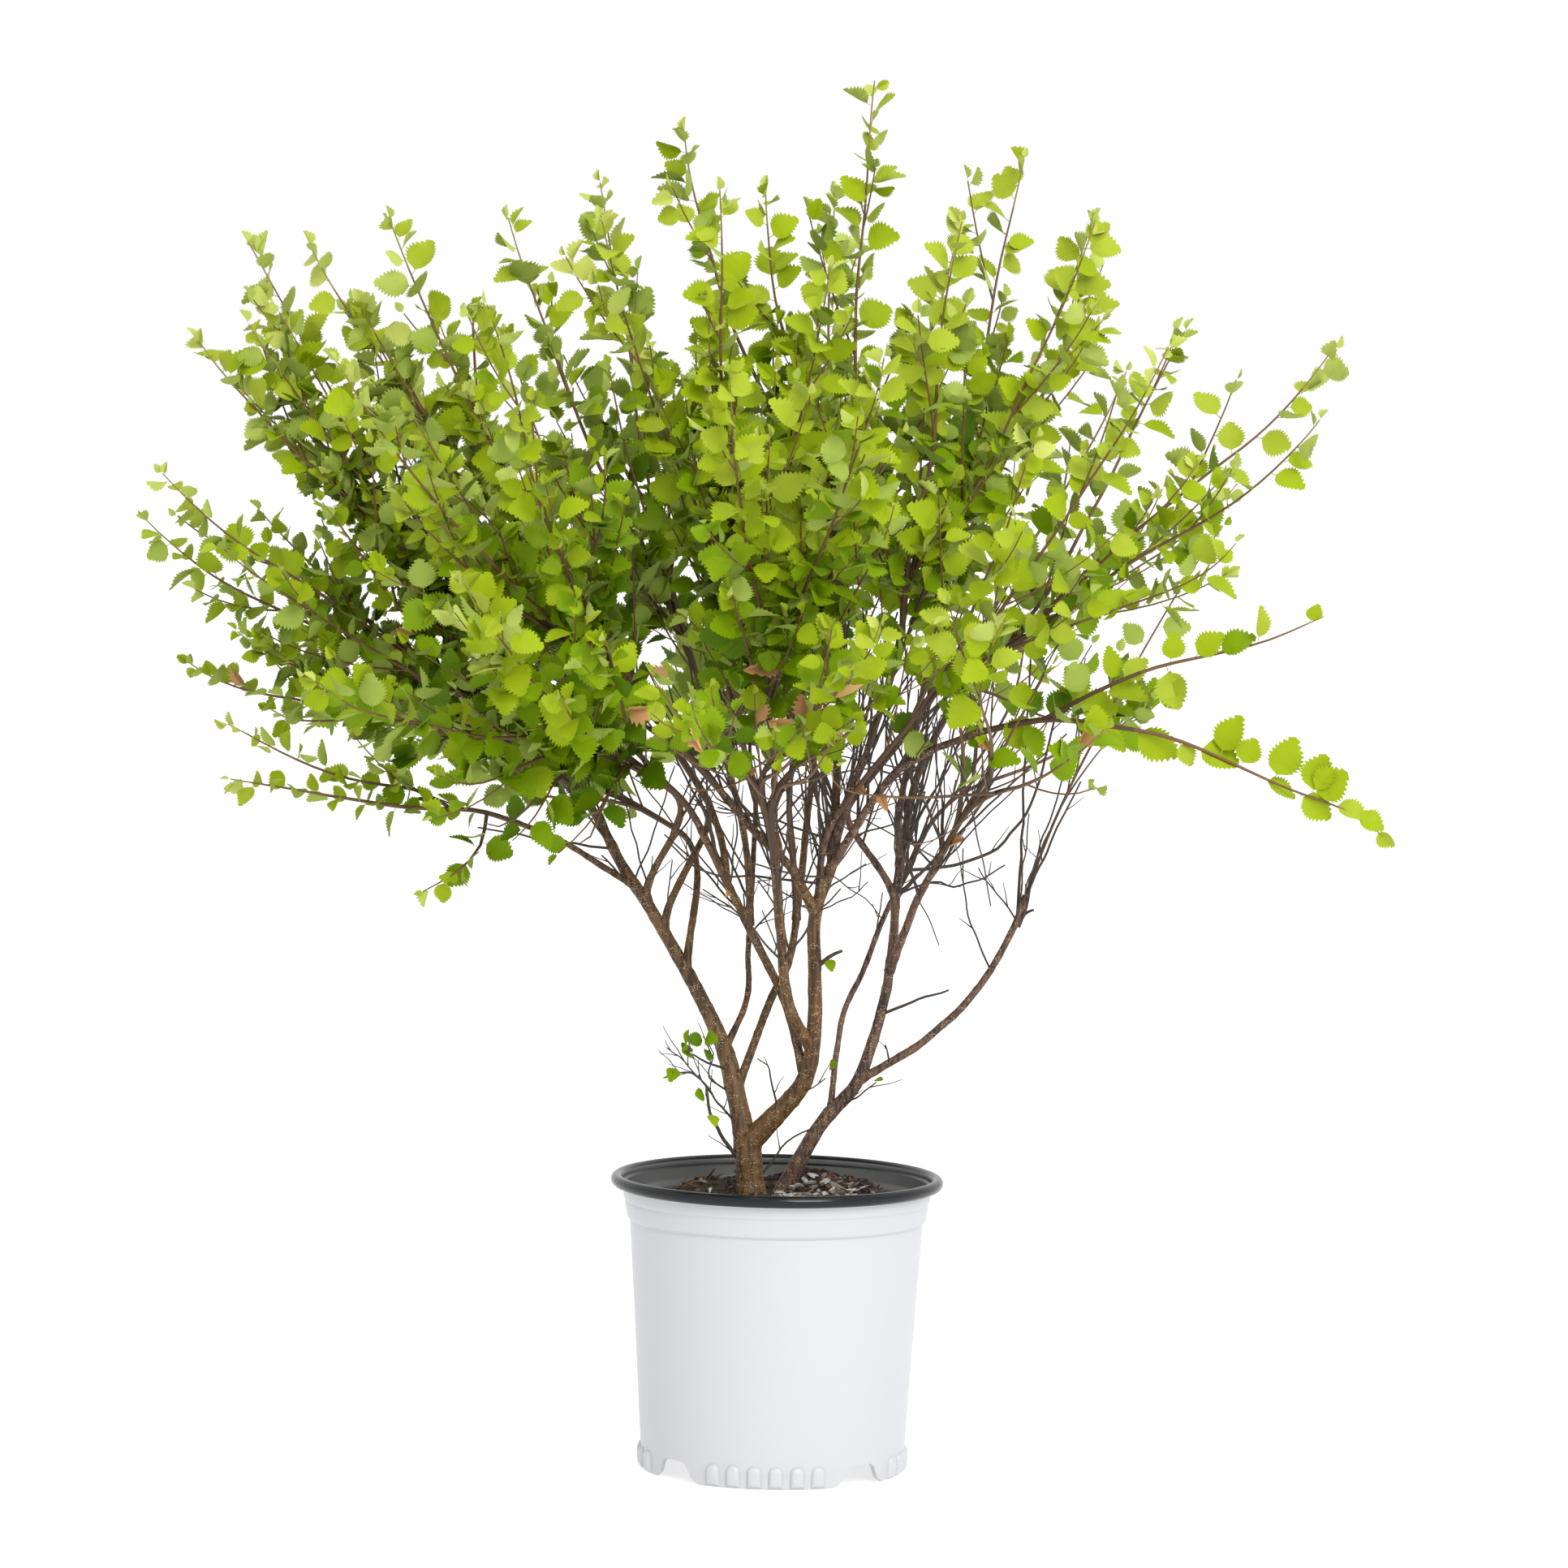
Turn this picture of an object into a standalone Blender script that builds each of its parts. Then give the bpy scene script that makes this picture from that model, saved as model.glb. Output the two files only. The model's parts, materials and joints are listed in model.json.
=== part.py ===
"""A dwarf birch shrub in a plastic nursery pot, as separate closed solids.

Metres, +Z up. The origin is the centre of the pot's underside and the photographed side faces -Y.
The pot and its filling are turned about Z. Stems and boughs are tapering tubes on smooth routes.
Each mass of foliage is grown by a seeded rule from the tip of its own bough and keeps to the space
that lies nearer to its own leading shoots than to any other mass's.
"""

import math
import random

import bmesh
import bpy
import numpy as np
from mathutils import Matrix, Vector
from mathutils.geometry import interpolate_bezier

# Clearance between pieces that touch
GAP = 0.0003

# Faces that a Boolean leaves flatter than this to each other are one
FLAT_ANGLE = math.radians(0.05)

# Pot
RIM_RADIUS = 0.1175
RIM_TOP = 0.2085
BEAD_RADIUS = 0.0043
LIP_HEIGHT = 0.1985
COLLAR_RADIUS = 0.1065
COLLAR_TOP = 0.1930
COLLAR_WALL = 0.0025
STEP_HEIGHT = 0.1780
STEP_DROP = 0.0025
BODY_TOP_RADIUS = 0.1035
FOOT_RADIUS = 0.0925
BODY_WALL = 0.0028
FLOOR_TOP = 0.0200
FLOOR_UNDER = 0.0170
SKIRT_WALL = 0.0040
PAD_RADIUS = 0.0300
TURNED_SIDES = 32
BEAD_STEPS = 5
BEAD_FROM = math.radians(-75)
BEAD_TO = math.radians(195)

# Arches between the four feet, and the upright ribs on each foot
FOOT_COUNT = 4
FOOT_TURN = math.radians(-3)
ARCH_WIDTH = 0.0290
ARCH_HEIGHT = 0.0140
ARCH_SHOULDER = 0.0060
ARCH_BELOW = 0.0050
ARCH_NEAR = 0.0700
ARCH_FAR = 0.1100
RIBS_PER_FOOT = 6
RIB_PITCH = math.radians(9.3)
RIB_WIDTH = 0.0112
RIB_TOP = 0.0165
RIB_BOTTOM = 0.0012
RIB_PROUD = 0.0012
RIB_DEPTH = 0.0030
RIB_SHOULDER = 0.45

# Filling
SOIL_FLAT_RADIUS = 0.0600
SOIL_TOP = 0.1975
SOIL_EDGE = 0.1720
SOIL_BULGE = 0.0030

# Stems and boughs
STEM_SIDES = 8
BOUGH_SIDES = 6
STEM_STEP = 0.030
BOUGH_STEP = 0.034
FLARE = 0.45
FLARE_HEIGHT = 0.008
SMOOTH_BARK_ANGLE = 60
CROWN_FOOT = Vector((-0.010, 0.000, 0.405))

# A bough inside the crown ends this far from the crown's foot, and its two ends bend by this share of it
ENTRY_REACH = 0.100
ENTRY_BEND = 0.35
ENTRY_POINTS = 4

# Leading shoots. The second and third split from the first at a share of its points.
LEADER_POINTS = 5
LEADER_STEP = 0.070
LEADER_SPLIT = (0.0, 0.16, 0.30)
LEADER_THINNING = 0.80
LEADER_RISE = 0.35
LEADER_BEND = 0.30
TIP_LEAF_ROOM = 0.80

# Side twigs, as shares of their shoot, of their own length or of their radius where not in metres
TWIG_SIDES = 3
TWIG_TIP_RADIUS = 0.0009
TWIG_RADIUS = 0.0015
TWIG_ANGLE = math.radians(48)
TWIG_SPACING = 0.120
TWIG_COUNTED = 0.75
TWIG_FIRST = 0.22
TWIG_RANGE = 0.62
TWIG_LENGTH = 0.140
TWIG_LENGTH_SPREAD = (0.75, 1.10)
TWIG_FOOT_LENGTH = 1.10
TWIG_SHORTENING = 0.50
TWIG_RISE = 0.16
TWIG_BOW = 0.06
TWIG_CHECKED_AT = 0.60
TWIG_THINNING = 0.85
TWIG_TRIES = 3
TWIG_RETRY = 0.65
GOLDEN_ANGLE = math.radians(137.5)

# Leaves, with the weights of the directions that make up a leaf's heading and its face
LEAF_LENGTH = 0.086
TIP_LEAF_LENGTH = 0.044
LEAF_LENGTH_SPREAD = (0.88, 1.12)
LEAF_BREADTH = 0.86
LEAF_THICKNESS = 0.0024
LEAF_WIDEST_AT = 0.45
LEAF_SPACING = 0.046
LEAF_SIZES = (1.0, 0.75)
LEAF_APART = 0.56
LEAF_ALONG = 0.55
LEAF_ACROSS = 0.85
LEAF_STRAY = 0.25
TIP_LEAF_STRAY = 0.12
LEAF_ROLL = 0.50
LEAF_FACES_UP = 0.75
LEAF_FACES_OUT = 0.55
LEAF_FACE_STRAY = 0.60
LAST_SEGMENT_SHORT = 1.001

# Distance that a mass keeps to its neighbours' half of the space, and to the limbs
SPACE_MARGIN = 0.006
LIMB_CLEARANCE = 0.002

# The full body of the crown is a rounded box about its foot. Only leading shoots stand out of it.
CROWN_HALF_SIZE = (0.415, 0.405, 0.500)
CROWN_SQUARENESS = 3
SEED = 41

# Main stems: name, way-points from the flat cut up, and diameters spread evenly along them
STEMS = {
    "stem_left": (
        [
            (-0.0178, -0.010, SOIL_TOP + GAP),
            (-0.0200, -0.010, 0.2275),
            (-0.0110, -0.012, 0.2420),
            (0.0145, -0.020, 0.2725),
            (0.0235, -0.026, 0.3020),
            (0.0240, -0.030, 0.3505),
            (0.0235, -0.030, 0.3970),
            (0.0350, -0.024, 0.4340),
            (0.0365, -0.014, 0.4800),
        ],
        (0.0200, 0.0182, 0.0132, 0.0110, 0.0096, 0.0092, 0.0078, 0.0060),
    ),
    "stem_right": (
        [
            (0.0067, 0.021, SOIL_TOP + GAP),
            (0.0290, 0.024, 0.2400),
            (0.0560, 0.028, 0.2730),
            (0.0725, 0.032, 0.3250),
            (0.0790, 0.036, 0.3690),
            (0.0820, 0.040, 0.4150),
            (0.0900, 0.047, 0.4700),
        ],
        (0.0125, 0.0108, 0.0092, 0.0074, 0.0064, 0.0062, 0.0055),
    ),
}

# Short dead spurs on the stems: foot, tip, diameter at the foot. The tip is a share of that thick.
SPURS = {
    "stem_left": [((0.0235, -0.030, 0.3560), (0.0425, -0.038, 0.3720), 0.0046)],
    "stem_right": [((0.0720, 0.032, 0.3200), (0.1190, 0.018, 0.3395), 0.0028)],
}
SPUR_SIDES = 5
SPUR_TIP = 2 / 3

# Boughs seen in the photograph: name, limb it springs from, height there, way-points, diameters
SEEN_BOUGHS = {
    "bough_left": (
        "stem_left",
        0.222,
        [(-0.031, -0.004, 0.269), (-0.040, 0.002, 0.300), (-0.064, 0.008, 0.346), (-0.093, 0.010, 0.395),
         (-0.112, 0.010, 0.423), (-0.129, 0.012, 0.4545)],
        (0.0150, 0.0138, 0.0104, 0.0090, 0.0082, 0.0064),
    ),
    "bough_low_left": (
        "bough_left", 0.409, [(-0.140, -0.012, 0.434), (-0.157, -0.022, 0.445), (-0.186, -0.035, 0.4575)],
        (0.0046, 0.0038),
    ),
    "bough_behind_left": (
        "bough_left", 0.296, [(-0.024, 0.022, 0.330), (-0.023, 0.045, 0.370), (-0.020, 0.085, 0.450)],
        (0.0045, 0.0038),
    ),
    "bough_behind_middle": (
        "bough_left", 0.266, [(-0.008, 0.022, 0.327), (0.008, 0.037, 0.368), (0.018, 0.075, 0.465)],
        (0.0060, 0.0048),
    ),
    "bough_front_left": (
        "stem_left", 0.280, [(0.003, -0.016, 0.333), (-0.025, -0.028, 0.390), (-0.061, -0.058, 0.464)],
        (0.0064, 0.0052),
    ),
    "bough_front": (
        "stem_left", 0.300, [(0.006, -0.044, 0.335), (-0.001, -0.060, 0.3905), (-0.006, -0.084, 0.4400)],
        (0.0078, 0.0058),
    ),
    "bough_middle_left": (
        "stem_left", 0.397, [(0.006, -0.050, 0.430), (-0.014, -0.060, 0.450), (-0.048, -0.082, 0.490)],
        (0.0068, 0.0050),
    ),
    "bough_right_front": (
        "stem_right", 0.350, [(0.095, 0.008, 0.4025), (0.114, -0.026, 0.4450)], (0.0062, 0.0050),
    ),
    "bough_right_low": (
        "stem_right", 0.272, [(0.1020, 0.030, 0.3015), (0.1385, 0.034, 0.337), (0.163, 0.036, 0.379),
                              (0.173, 0.038, 0.406)], (0.0058, 0.0045),
    ),
    "bough_behind_right": (
        "stem_right", 0.250, [(0.044, 0.050, 0.312), (0.059, 0.064, 0.348), (0.075, 0.084, 0.388), (0.098, 0.118, 0.435)],
        (0.0044, 0.0036),
    ),
    "bough_far_right": (
        "stem_left", 0.430, [(0.078, -0.074, 0.500), (0.133, -0.120, 0.532)], (0.0060, 0.0048),
    ),
    "bough_right_high": (
        "stem_right", 0.425, [(0.082, 0.026, 0.465), (0.090, 0.022, 0.510)], (0.0055, 0.0042),
    ),
    "bough_front_right_high": (
        "stem_left", 0.444, [(0.046, -0.040, 0.480), (0.058, -0.056, 0.515)], (0.0055, 0.0042),
    ),
}

# Boughs inside the crown: name, limb it springs from and height there. They end where their mass begins.
INNER_BOUGHS = {
    "bough_left_middle": ("bough_left", 0.400),
    "bough_left_rear": ("bough_left", 0.378),
    "bough_left_low_rear": ("bough_left", 0.350),
    "bough_left_high": ("bough_front_left", 0.420),
    "bough_rear_high": ("bough_behind_middle", 0.385),
    "bough_left_high_rear": ("bough_behind_left", 0.380),
    "bough_right_rear": ("stem_right", 0.395),
    "bough_front_middle": ("bough_front", 0.405),
    "bough_front_high": ("bough_middle_left", 0.440),
    "bough_front_right": ("stem_left", 0.408),
}
INNER_DIAMETERS = (0.0055, 0.0042)

# Masses: name, limb that carries it, and its leading shoots. A shoot is its far tip, after any
# points it passes on the way.
MASSES = {
    "foliage_top": (
        "stem_left", [[(0.055, 0.000, 0.982)], [(-0.078, 0.010, 0.944)], [(-0.020, -0.035, 0.904)]],
    ),
    "foliage_left_low": ("bough_left", [[(-0.452, -0.020, 0.667)], [(-0.424, 0.030, 0.563)]]),
    "foliage_left_droop": (
        "bough_low_left",
        [[(-0.222, -0.065, 0.458), (-0.255, -0.100, 0.411)], [(-0.378, -0.130, 0.491)]],
    ),
    "foliage_left_middle": ("bough_left_middle", [[(-0.415, -0.030, 0.793)], [(-0.387, 0.050, 0.862)]]),
    "foliage_left_rear": ("bough_left_rear", [[(-0.310, 0.260, 0.760)], [(-0.215, 0.310, 0.800)]]),
    "foliage_left_low_rear": ("bough_left_low_rear", [[(-0.345, 0.285, 0.540)], [(-0.285, 0.340, 0.650)]]),
    "foliage_left_high": ("bough_left_high", [[(-0.278, -0.090, 0.877)], [(-0.335, -0.060, 0.859)]]),
    "foliage_left_high_rear": ("bough_left_high_rear", [[(-0.206, 0.120, 0.884)], [(-0.141, 0.150, 0.911)]]),
    "foliage_rear_low": ("bough_behind_left", [[(-0.090, 0.440, 0.560)], [(0.020, 0.420, 0.640)]]),
    "foliage_rear_middle": ("bough_behind_middle", [[(0.050, 0.370, 0.780)], [(-0.060, 0.360, 0.800)]]),
    "foliage_rear_high": ("bough_rear_high", [[(0.030, 0.210, 0.905)], [(0.120, 0.180, 0.880)]]),
    "foliage_right_low_rear": ("bough_behind_right", [[(0.290, 0.310, 0.540)], [(0.210, 0.350, 0.650)]]),
    "foliage_right_rear": ("bough_right_rear", [[(0.250, 0.270, 0.780)], [(0.330, 0.200, 0.700)]]),
    "foliage_right_low": ("bough_right_low", [[(0.311, 0.060, 0.673)], [(0.275, 0.130, 0.560)]]),
    "foliage_right_middle": (
        "stem_right", [[(0.3825, 0.020, 0.800)], [(0.368, -0.060, 0.751)], [(0.282, 0.090, 0.811)]],
    ),
    "foliage_right_high": ("bough_right_high", [[(0.162, 0.030, 0.930)], [(0.221, 0.060, 0.857)]]),
    "foliage_far_right": (
        "bough_far_right",
        [
            [(0.207, -0.165, 0.540), (0.270, -0.195, 0.532), (0.362, -0.225, 0.496), (0.419, -0.240, 0.460)],
            [(0.365, -0.205, 0.599)],
        ],
    ),
    "foliage_right_front": ("bough_right_front", [[(0.210, -0.330, 0.550)], [(0.140, -0.365, 0.620)]]),
    "foliage_front": ("bough_front", [[(-0.060, -0.430, 0.570)], [(0.060, -0.410, 0.620)]]),
    "foliage_front_left": ("bough_front_left", [[(-0.310, -0.290, 0.570)], [(-0.210, -0.370, 0.640)]]),
    "foliage_middle_left": ("bough_middle_left", [[(-0.300, -0.270, 0.780)], [(-0.200, -0.310, 0.820)]]),
    "foliage_front_middle": ("bough_front_middle", [[(-0.040, -0.370, 0.780)], [(0.060, -0.360, 0.790)]]),
    "foliage_front_high": ("bough_front_high", [[(-0.050, -0.200, 0.900)], [(-0.130, -0.170, 0.880)]]),
    "foliage_front_right": (
        "bough_front_right", [[(0.250, -0.260, 0.800)], [(0.160, -0.330, 0.740)], [(0.300, -0.230, 0.670)]],
    ),
    "foliage_front_right_high": (
        "bough_front_right_high", [[(0.114, -0.160, 0.882)], [(0.205, -0.130, 0.882)]],
    ),
}

# Share of each shoot that is bare below its leaves, where that differs from the usual one
BARE_SHARE = 0.22
TWIG_BARE_SHARE = 0.30
BARER_MASSES = {"foliage_right_low": 0.42}


# Materials
def material(name, colour, roughness, metallic=0.0):
    made = bpy.data.materials.new(name)
    made.use_nodes = True
    shader = made.node_tree.nodes["Principled BSDF"]
    shader.inputs["Base Color"].default_value = (*colour, 1.0)
    shader.inputs["Roughness"].default_value = roughness
    shader.inputs["Metallic"].default_value = metallic
    made.diffuse_color = (*colour, 1.0)
    return made


# Meshes and objects
def new_object(name, verts, faces, finish=None):
    mesh = bpy.data.meshes.new(name)
    mesh.from_pydata([tuple(v) for v in verts], [], faces)
    mesh.validate()
    if finish:
        mesh.materials.append(finish)
    made = bpy.data.objects.new(name, mesh)
    bpy.context.scene.collection.objects.link(made)
    return made


def smooth(piece, angle=40):
    piece.data.shade_smooth()
    piece.data.set_sharp_from_angle(angle=math.radians(angle))


def turned(name, profile, finish):
    """A closed solid turned about Z from (radius, height) points that run outwards, up and back in."""
    verts = []
    rings = []
    for radius, height in profile:
        count = TURNED_SIDES if radius > 0 else 1
        rings.append([len(verts) + i for i in range(count)])
        for i in range(count):
            turn = 2 * math.pi * i / TURNED_SIDES
            verts.append((radius * math.cos(turn), radius * math.sin(turn), height))
    faces = []
    for low, high in zip(rings, rings[1:]):
        for i in range(TURNED_SIDES):
            j = (i + 1) % TURNED_SIDES
            corners = [low[i % len(low)], low[j % len(low)], high[j % len(high)], high[i % len(high)]]
            faces.append(list(dict.fromkeys(corners)))
    return new_object(name, verts, faces, finish)


def radial_prism(name, outline, near, far, turn):
    """A prism that points out of the pot at a turn from its front, between two radii of the height."""
    verts = []
    for radius_at in (near, far):
        verts += [Vector((across, -radius_at(height), height)) for across, height in outline]
    count = len(outline)
    faces = [list(range(count, 2 * count)), list(range(count - 1, -1, -1))]
    for i in range(count):
        j = (i + 1) % count
        faces.append([i, j, count + j, count + i])
    spin = Matrix.Rotation(turn, 3, "Z")
    return new_object(name, [spin @ v for v in verts], faces)


def rounded_top(width, bottom, top, shoulder, steps=2):
    """An upright outline with rounded upper corners, as (across, height) points."""
    outline = [(-width / 2, bottom), (width / 2, bottom)]
    for side, first in ((1, 0.0), (-1, math.pi / 2)):
        for i in range(steps + 1):
            turn = first + math.pi / 2 * i / steps
            across = side * (width / 2 - shoulder) + shoulder * math.cos(turn)
            outline.append((across, top - shoulder + shoulder * math.sin(turn)))
    return outline


def boolean(body, others, operation):
    """Joins or cuts a body with other pieces, which are then removed. One closed shell is left."""
    group = bpy.data.collections.new(body.name + "_others")
    bpy.context.scene.collection.children.link(group)
    for other in others:
        bpy.context.scene.collection.objects.unlink(other)
        group.objects.link(other)
    modifier = body.modifiers.new(operation.lower(), "BOOLEAN")
    modifier.operation = operation
    modifier.operand_type = "COLLECTION"
    modifier.collection = group
    for solver in ("EXACT", "MANIFOLD"):
        modifier.solver = solver
        graph = bpy.context.evaluated_depsgraph_get()
        result = bpy.data.meshes.new_from_object(body.evaluated_get(graph))
        if keep_one_shell(result):
            break
    body.modifiers.clear()
    body.data = result
    for other in others:
        bpy.data.objects.remove(other)
    bpy.data.collections.remove(group)
    return body


def keep_one_shell(result):
    """Drops loose scraps and the walls of sealed hollows from a mesh, so that the largest shell is left,
    and says whether that shell is closed."""
    mesh = bmesh.new()
    mesh.from_mesh(result)
    bmesh.ops.dissolve_limit(
        mesh, angle_limit=FLAT_ANGLE, use_dissolve_boundaries=False, verts=mesh.verts[:], edges=mesh.edges[:]
    )
    bmesh.ops.triangulate(mesh, faces=mesh.faces[:], ngon_method="EAR_CLIP")
    waiting = set(mesh.faces)
    shells = []
    while waiting:
        edge_of_shell = [waiting.pop()]
        shell = list(edge_of_shell)
        while edge_of_shell:
            face = edge_of_shell.pop()
            for edge in face.edges:
                for near in edge.link_faces:
                    if near in waiting:
                        waiting.remove(near)
                        edge_of_shell.append(near)
                        shell.append(near)
        shells.append(shell)
    shells.sort(key=len)
    scraps = [face for shell in shells[:-1] for face in shell]
    bmesh.ops.delete(mesh, geom=scraps, context="FACES")
    closed = all(len(edge.link_faces) == 2 for edge in mesh.edges)
    mesh.to_mesh(result)
    mesh.free()
    return closed


# Routes and tubes
def smooth_route(points, step):
    """Points about a step apart on a smooth curve that passes through the given ones."""
    padded = [points[0] * 2 - points[1], *points, points[-1] * 2 - points[-2]]
    route = [points[0]]
    for before, start, end, after in zip(padded, padded[1:], padded[2:], padded[3:]):
        count = max(1, round((end - start).length / step))
        for i in range(1, count + 1):
            t = i / count
            bend = (end - before) * t + (before * 2 - start * 5 + end * 4 - after) * t**2
            bend += (start * 3 - before - end * 3 + after) * t**3
            route.append(start + bend / 2)
    return route


def radii_along(route, diameters):
    """Half the diameters, which are spread evenly along the route's length."""
    lengths = np.cumsum([0.0] + [(b - a).length for a, b in zip(route, route[1:])])
    marks = np.linspace(0.0, lengths[-1], len(diameters))
    return [float(d) / 2 for d in np.interp(lengths, marks, diameters)]


def tube(name, route, radii, sides, finish=None, first_along=None):
    """A tapering tube with closed ends. The first end can be cut square to a given direction."""
    verts = []
    across = Vector((1.0, 0.0, 0.0))
    for i, (centre, radius) in enumerate(zip(route, radii)):
        along = (route[min(i + 1, len(route) - 1)] - route[max(i - 1, 0)]).normalized()
        if i == 0 and first_along:
            along = first_along
        across = across - along * across.dot(along)
        if across.length < 1e-3:
            across = along.orthogonal()
        across.normalize()
        other = along.cross(across)
        for k in range(sides):
            turn = 2 * math.pi * k / sides
            verts.append(centre + (across * math.cos(turn) + other * math.sin(turn)) * radius)
    faces = [list(range(sides - 1, -1, -1)), list(range(len(verts) - sides, len(verts)))]
    for ring in range(0, len(verts) - sides, sides):
        for k in range(sides):
            j = (k + 1) % sides
            faces.append([ring + k, ring + j, ring + sides + j])
            faces.append([ring + k, ring + sides + j, ring + sides + k])
    return new_object(name, verts, faces, finish)


# Pot and filling
def body_radius(height):
    """Radius of the pot's tapering outer wall."""
    return FOOT_RADIUS + (BODY_TOP_RADIUS - FOOT_RADIUS) * height / STEP_HEIGHT


def make_pot(finish):
    bead_radius_at = RIM_RADIUS - BEAD_RADIUS
    bead_height_at = RIM_TOP - BEAD_RADIUS
    bead = []
    for i in range(BEAD_STEPS + 1):
        turn = BEAD_FROM + (BEAD_TO - BEAD_FROM) * i / BEAD_STEPS
        bead.append((
            bead_radius_at + BEAD_RADIUS * math.cos(turn),
            bead_height_at + BEAD_RADIUS * math.sin(turn),
        ))
    profile = [
        (0.0, 0.0),
        (PAD_RADIUS, 0.0),
        (PAD_RADIUS, FLOOR_UNDER),
        (body_radius(FLOOR_UNDER) - SKIRT_WALL, FLOOR_UNDER),
        (FOOT_RADIUS - SKIRT_WALL, 0.0),
        (FOOT_RADIUS, 0.0),
        (body_radius(STEP_HEIGHT - STEP_DROP), STEP_HEIGHT - STEP_DROP),
        (COLLAR_RADIUS, STEP_HEIGHT),
        (COLLAR_RADIUS, COLLAR_TOP),
        (bead_radius_at, LIP_HEIGHT),
        *bead,
        (COLLAR_RADIUS - COLLAR_WALL, COLLAR_TOP),
        (COLLAR_RADIUS - COLLAR_WALL, STEP_HEIGHT),
        (body_radius(STEP_HEIGHT) - BODY_WALL, STEP_HEIGHT - STEP_DROP),
        (body_radius(FLOOR_TOP) - BODY_WALL, FLOOR_TOP),
        (0.0, FLOOR_TOP),
    ]
    pot = turned("pot", profile, finish)
    rib = rounded_top(RIB_WIDTH, RIB_BOTTOM, RIB_TOP, RIB_SHOULDER * RIB_WIDTH)
    arch = rounded_top(ARCH_WIDTH, -ARCH_BELOW, ARCH_HEIGHT, ARCH_SHOULDER)
    ribs = []
    arches = []
    for foot in range(FOOT_COUNT):
        middle = FOOT_TURN + 2 * math.pi * foot / FOOT_COUNT
        for i in range(RIBS_PER_FOOT):
            turn = middle + RIB_PITCH * (i - (RIBS_PER_FOOT - 1) / 2)
            ribs.append(radial_prism(
                "rib", rib, lambda z: body_radius(z) - RIB_DEPTH, lambda z: body_radius(z) + RIB_PROUD, turn
            ))
        between = middle + math.pi / FOOT_COUNT
        arches.append(radial_prism("arch", arch, lambda z: ARCH_NEAR, lambda z: ARCH_FAR, between))
    boolean(pot, ribs, "UNION")
    boolean(pot, arches, "DIFFERENCE")
    smooth(pot)
    return pot


def make_soil(finish):
    def side(height):
        return body_radius(height) - BODY_WALL - GAP

    profile = [
        (0.0, FLOOR_TOP + GAP),
        (side(FLOOR_TOP), FLOOR_TOP + GAP),
        (side(SOIL_EDGE), SOIL_EDGE),
        ((side(SOIL_EDGE) + SOIL_FLAT_RADIUS) / 2, (SOIL_EDGE + SOIL_TOP) / 2 + SOIL_BULGE),
        (SOIL_FLAT_RADIUS, SOIL_TOP),
        (0.0, SOIL_TOP),
    ]
    soil = turned("soil", profile, finish)
    smooth(soil)
    return soil


# Stems and boughs
def point_at_height(route, height):
    """Where a rising route passes a height."""
    for start, end in zip(route, route[1:]):
        if start.z <= height <= end.z:
            return start.lerp(end, (height - start.z) / (end.z - start.z))
    return route[-1].copy()


def plan_limbs():
    """Each limb's route, radii, number of sides and parent, by name."""
    limbs = {}
    for name, (points, diameters) in STEMS.items():
        route = smooth_route([Vector(p) for p in points], STEM_STEP)
        low = route[0].lerp(route[1], FLARE_HEIGHT * 2 / (route[1] - route[0]).length)
        route.insert(1, low)
        radii = radii_along(route, diameters)
        for i, point in enumerate(route):
            radii[i] *= 1 + FLARE * math.exp((route[0].z - point.z) / FLARE_HEIGHT)
        limbs[name] = (route, radii, STEM_SIDES, None)
    for name, (parent, height, points, diameters) in SEEN_BOUGHS.items():
        root = point_at_height(limbs[parent][0], height)
        route = smooth_route([root] + [Vector(p) for p in points], BOUGH_STEP)
        limbs[name] = (route, radii_along(route, diameters), BOUGH_SIDES, parent)
    carried = {bough: shoots for bough, shoots in MASSES.values()}
    for name, (parent, height) in INNER_BOUGHS.items():
        root = point_at_height(limbs[parent][0], height)
        tips = [Vector(shoot[-1]) for shoot in carried[name]]
        outwards = (sum(tips, Vector()) / len(tips) - CROWN_FOOT).normalized()
        entry = CROWN_FOOT + outwards * ENTRY_REACH
        bend = (entry - root).length * ENTRY_BEND
        rise = Vector((0.0, 0.0, bend))
        route = interpolate_bezier(root, root + rise, entry - outwards * bend, entry, ENTRY_POINTS)
        limbs[name] = (route, radii_along(route, INNER_DIAMETERS), BOUGH_SIDES, parent)
    return limbs


def make_limb(name, limbs, finish):
    route, radii, sides, parent = limbs[name]
    limb = tube(name, route, radii, sides, finish, None if parent else Vector((0.0, 0.0, 1.0)))
    if parent:
        parent_route, parent_radii, parent_sides, _ = limbs[parent]
        wider = [radius + GAP for radius in parent_radii]
        boolean(limb, [tube("cutter", parent_route, wider, parent_sides)], "DIFFERENCE")
    for foot, tip, diameter in SPURS.get(name, []):
        spur = tube("spur", [Vector(foot), Vector(tip)], [diameter / 2, diameter / 2 * SPUR_TIP], SPUR_SIDES)
        boolean(limb, [spur], "UNION")
    smooth(limb, SMOOTH_BARK_ANGLE)
    return limb


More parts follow.
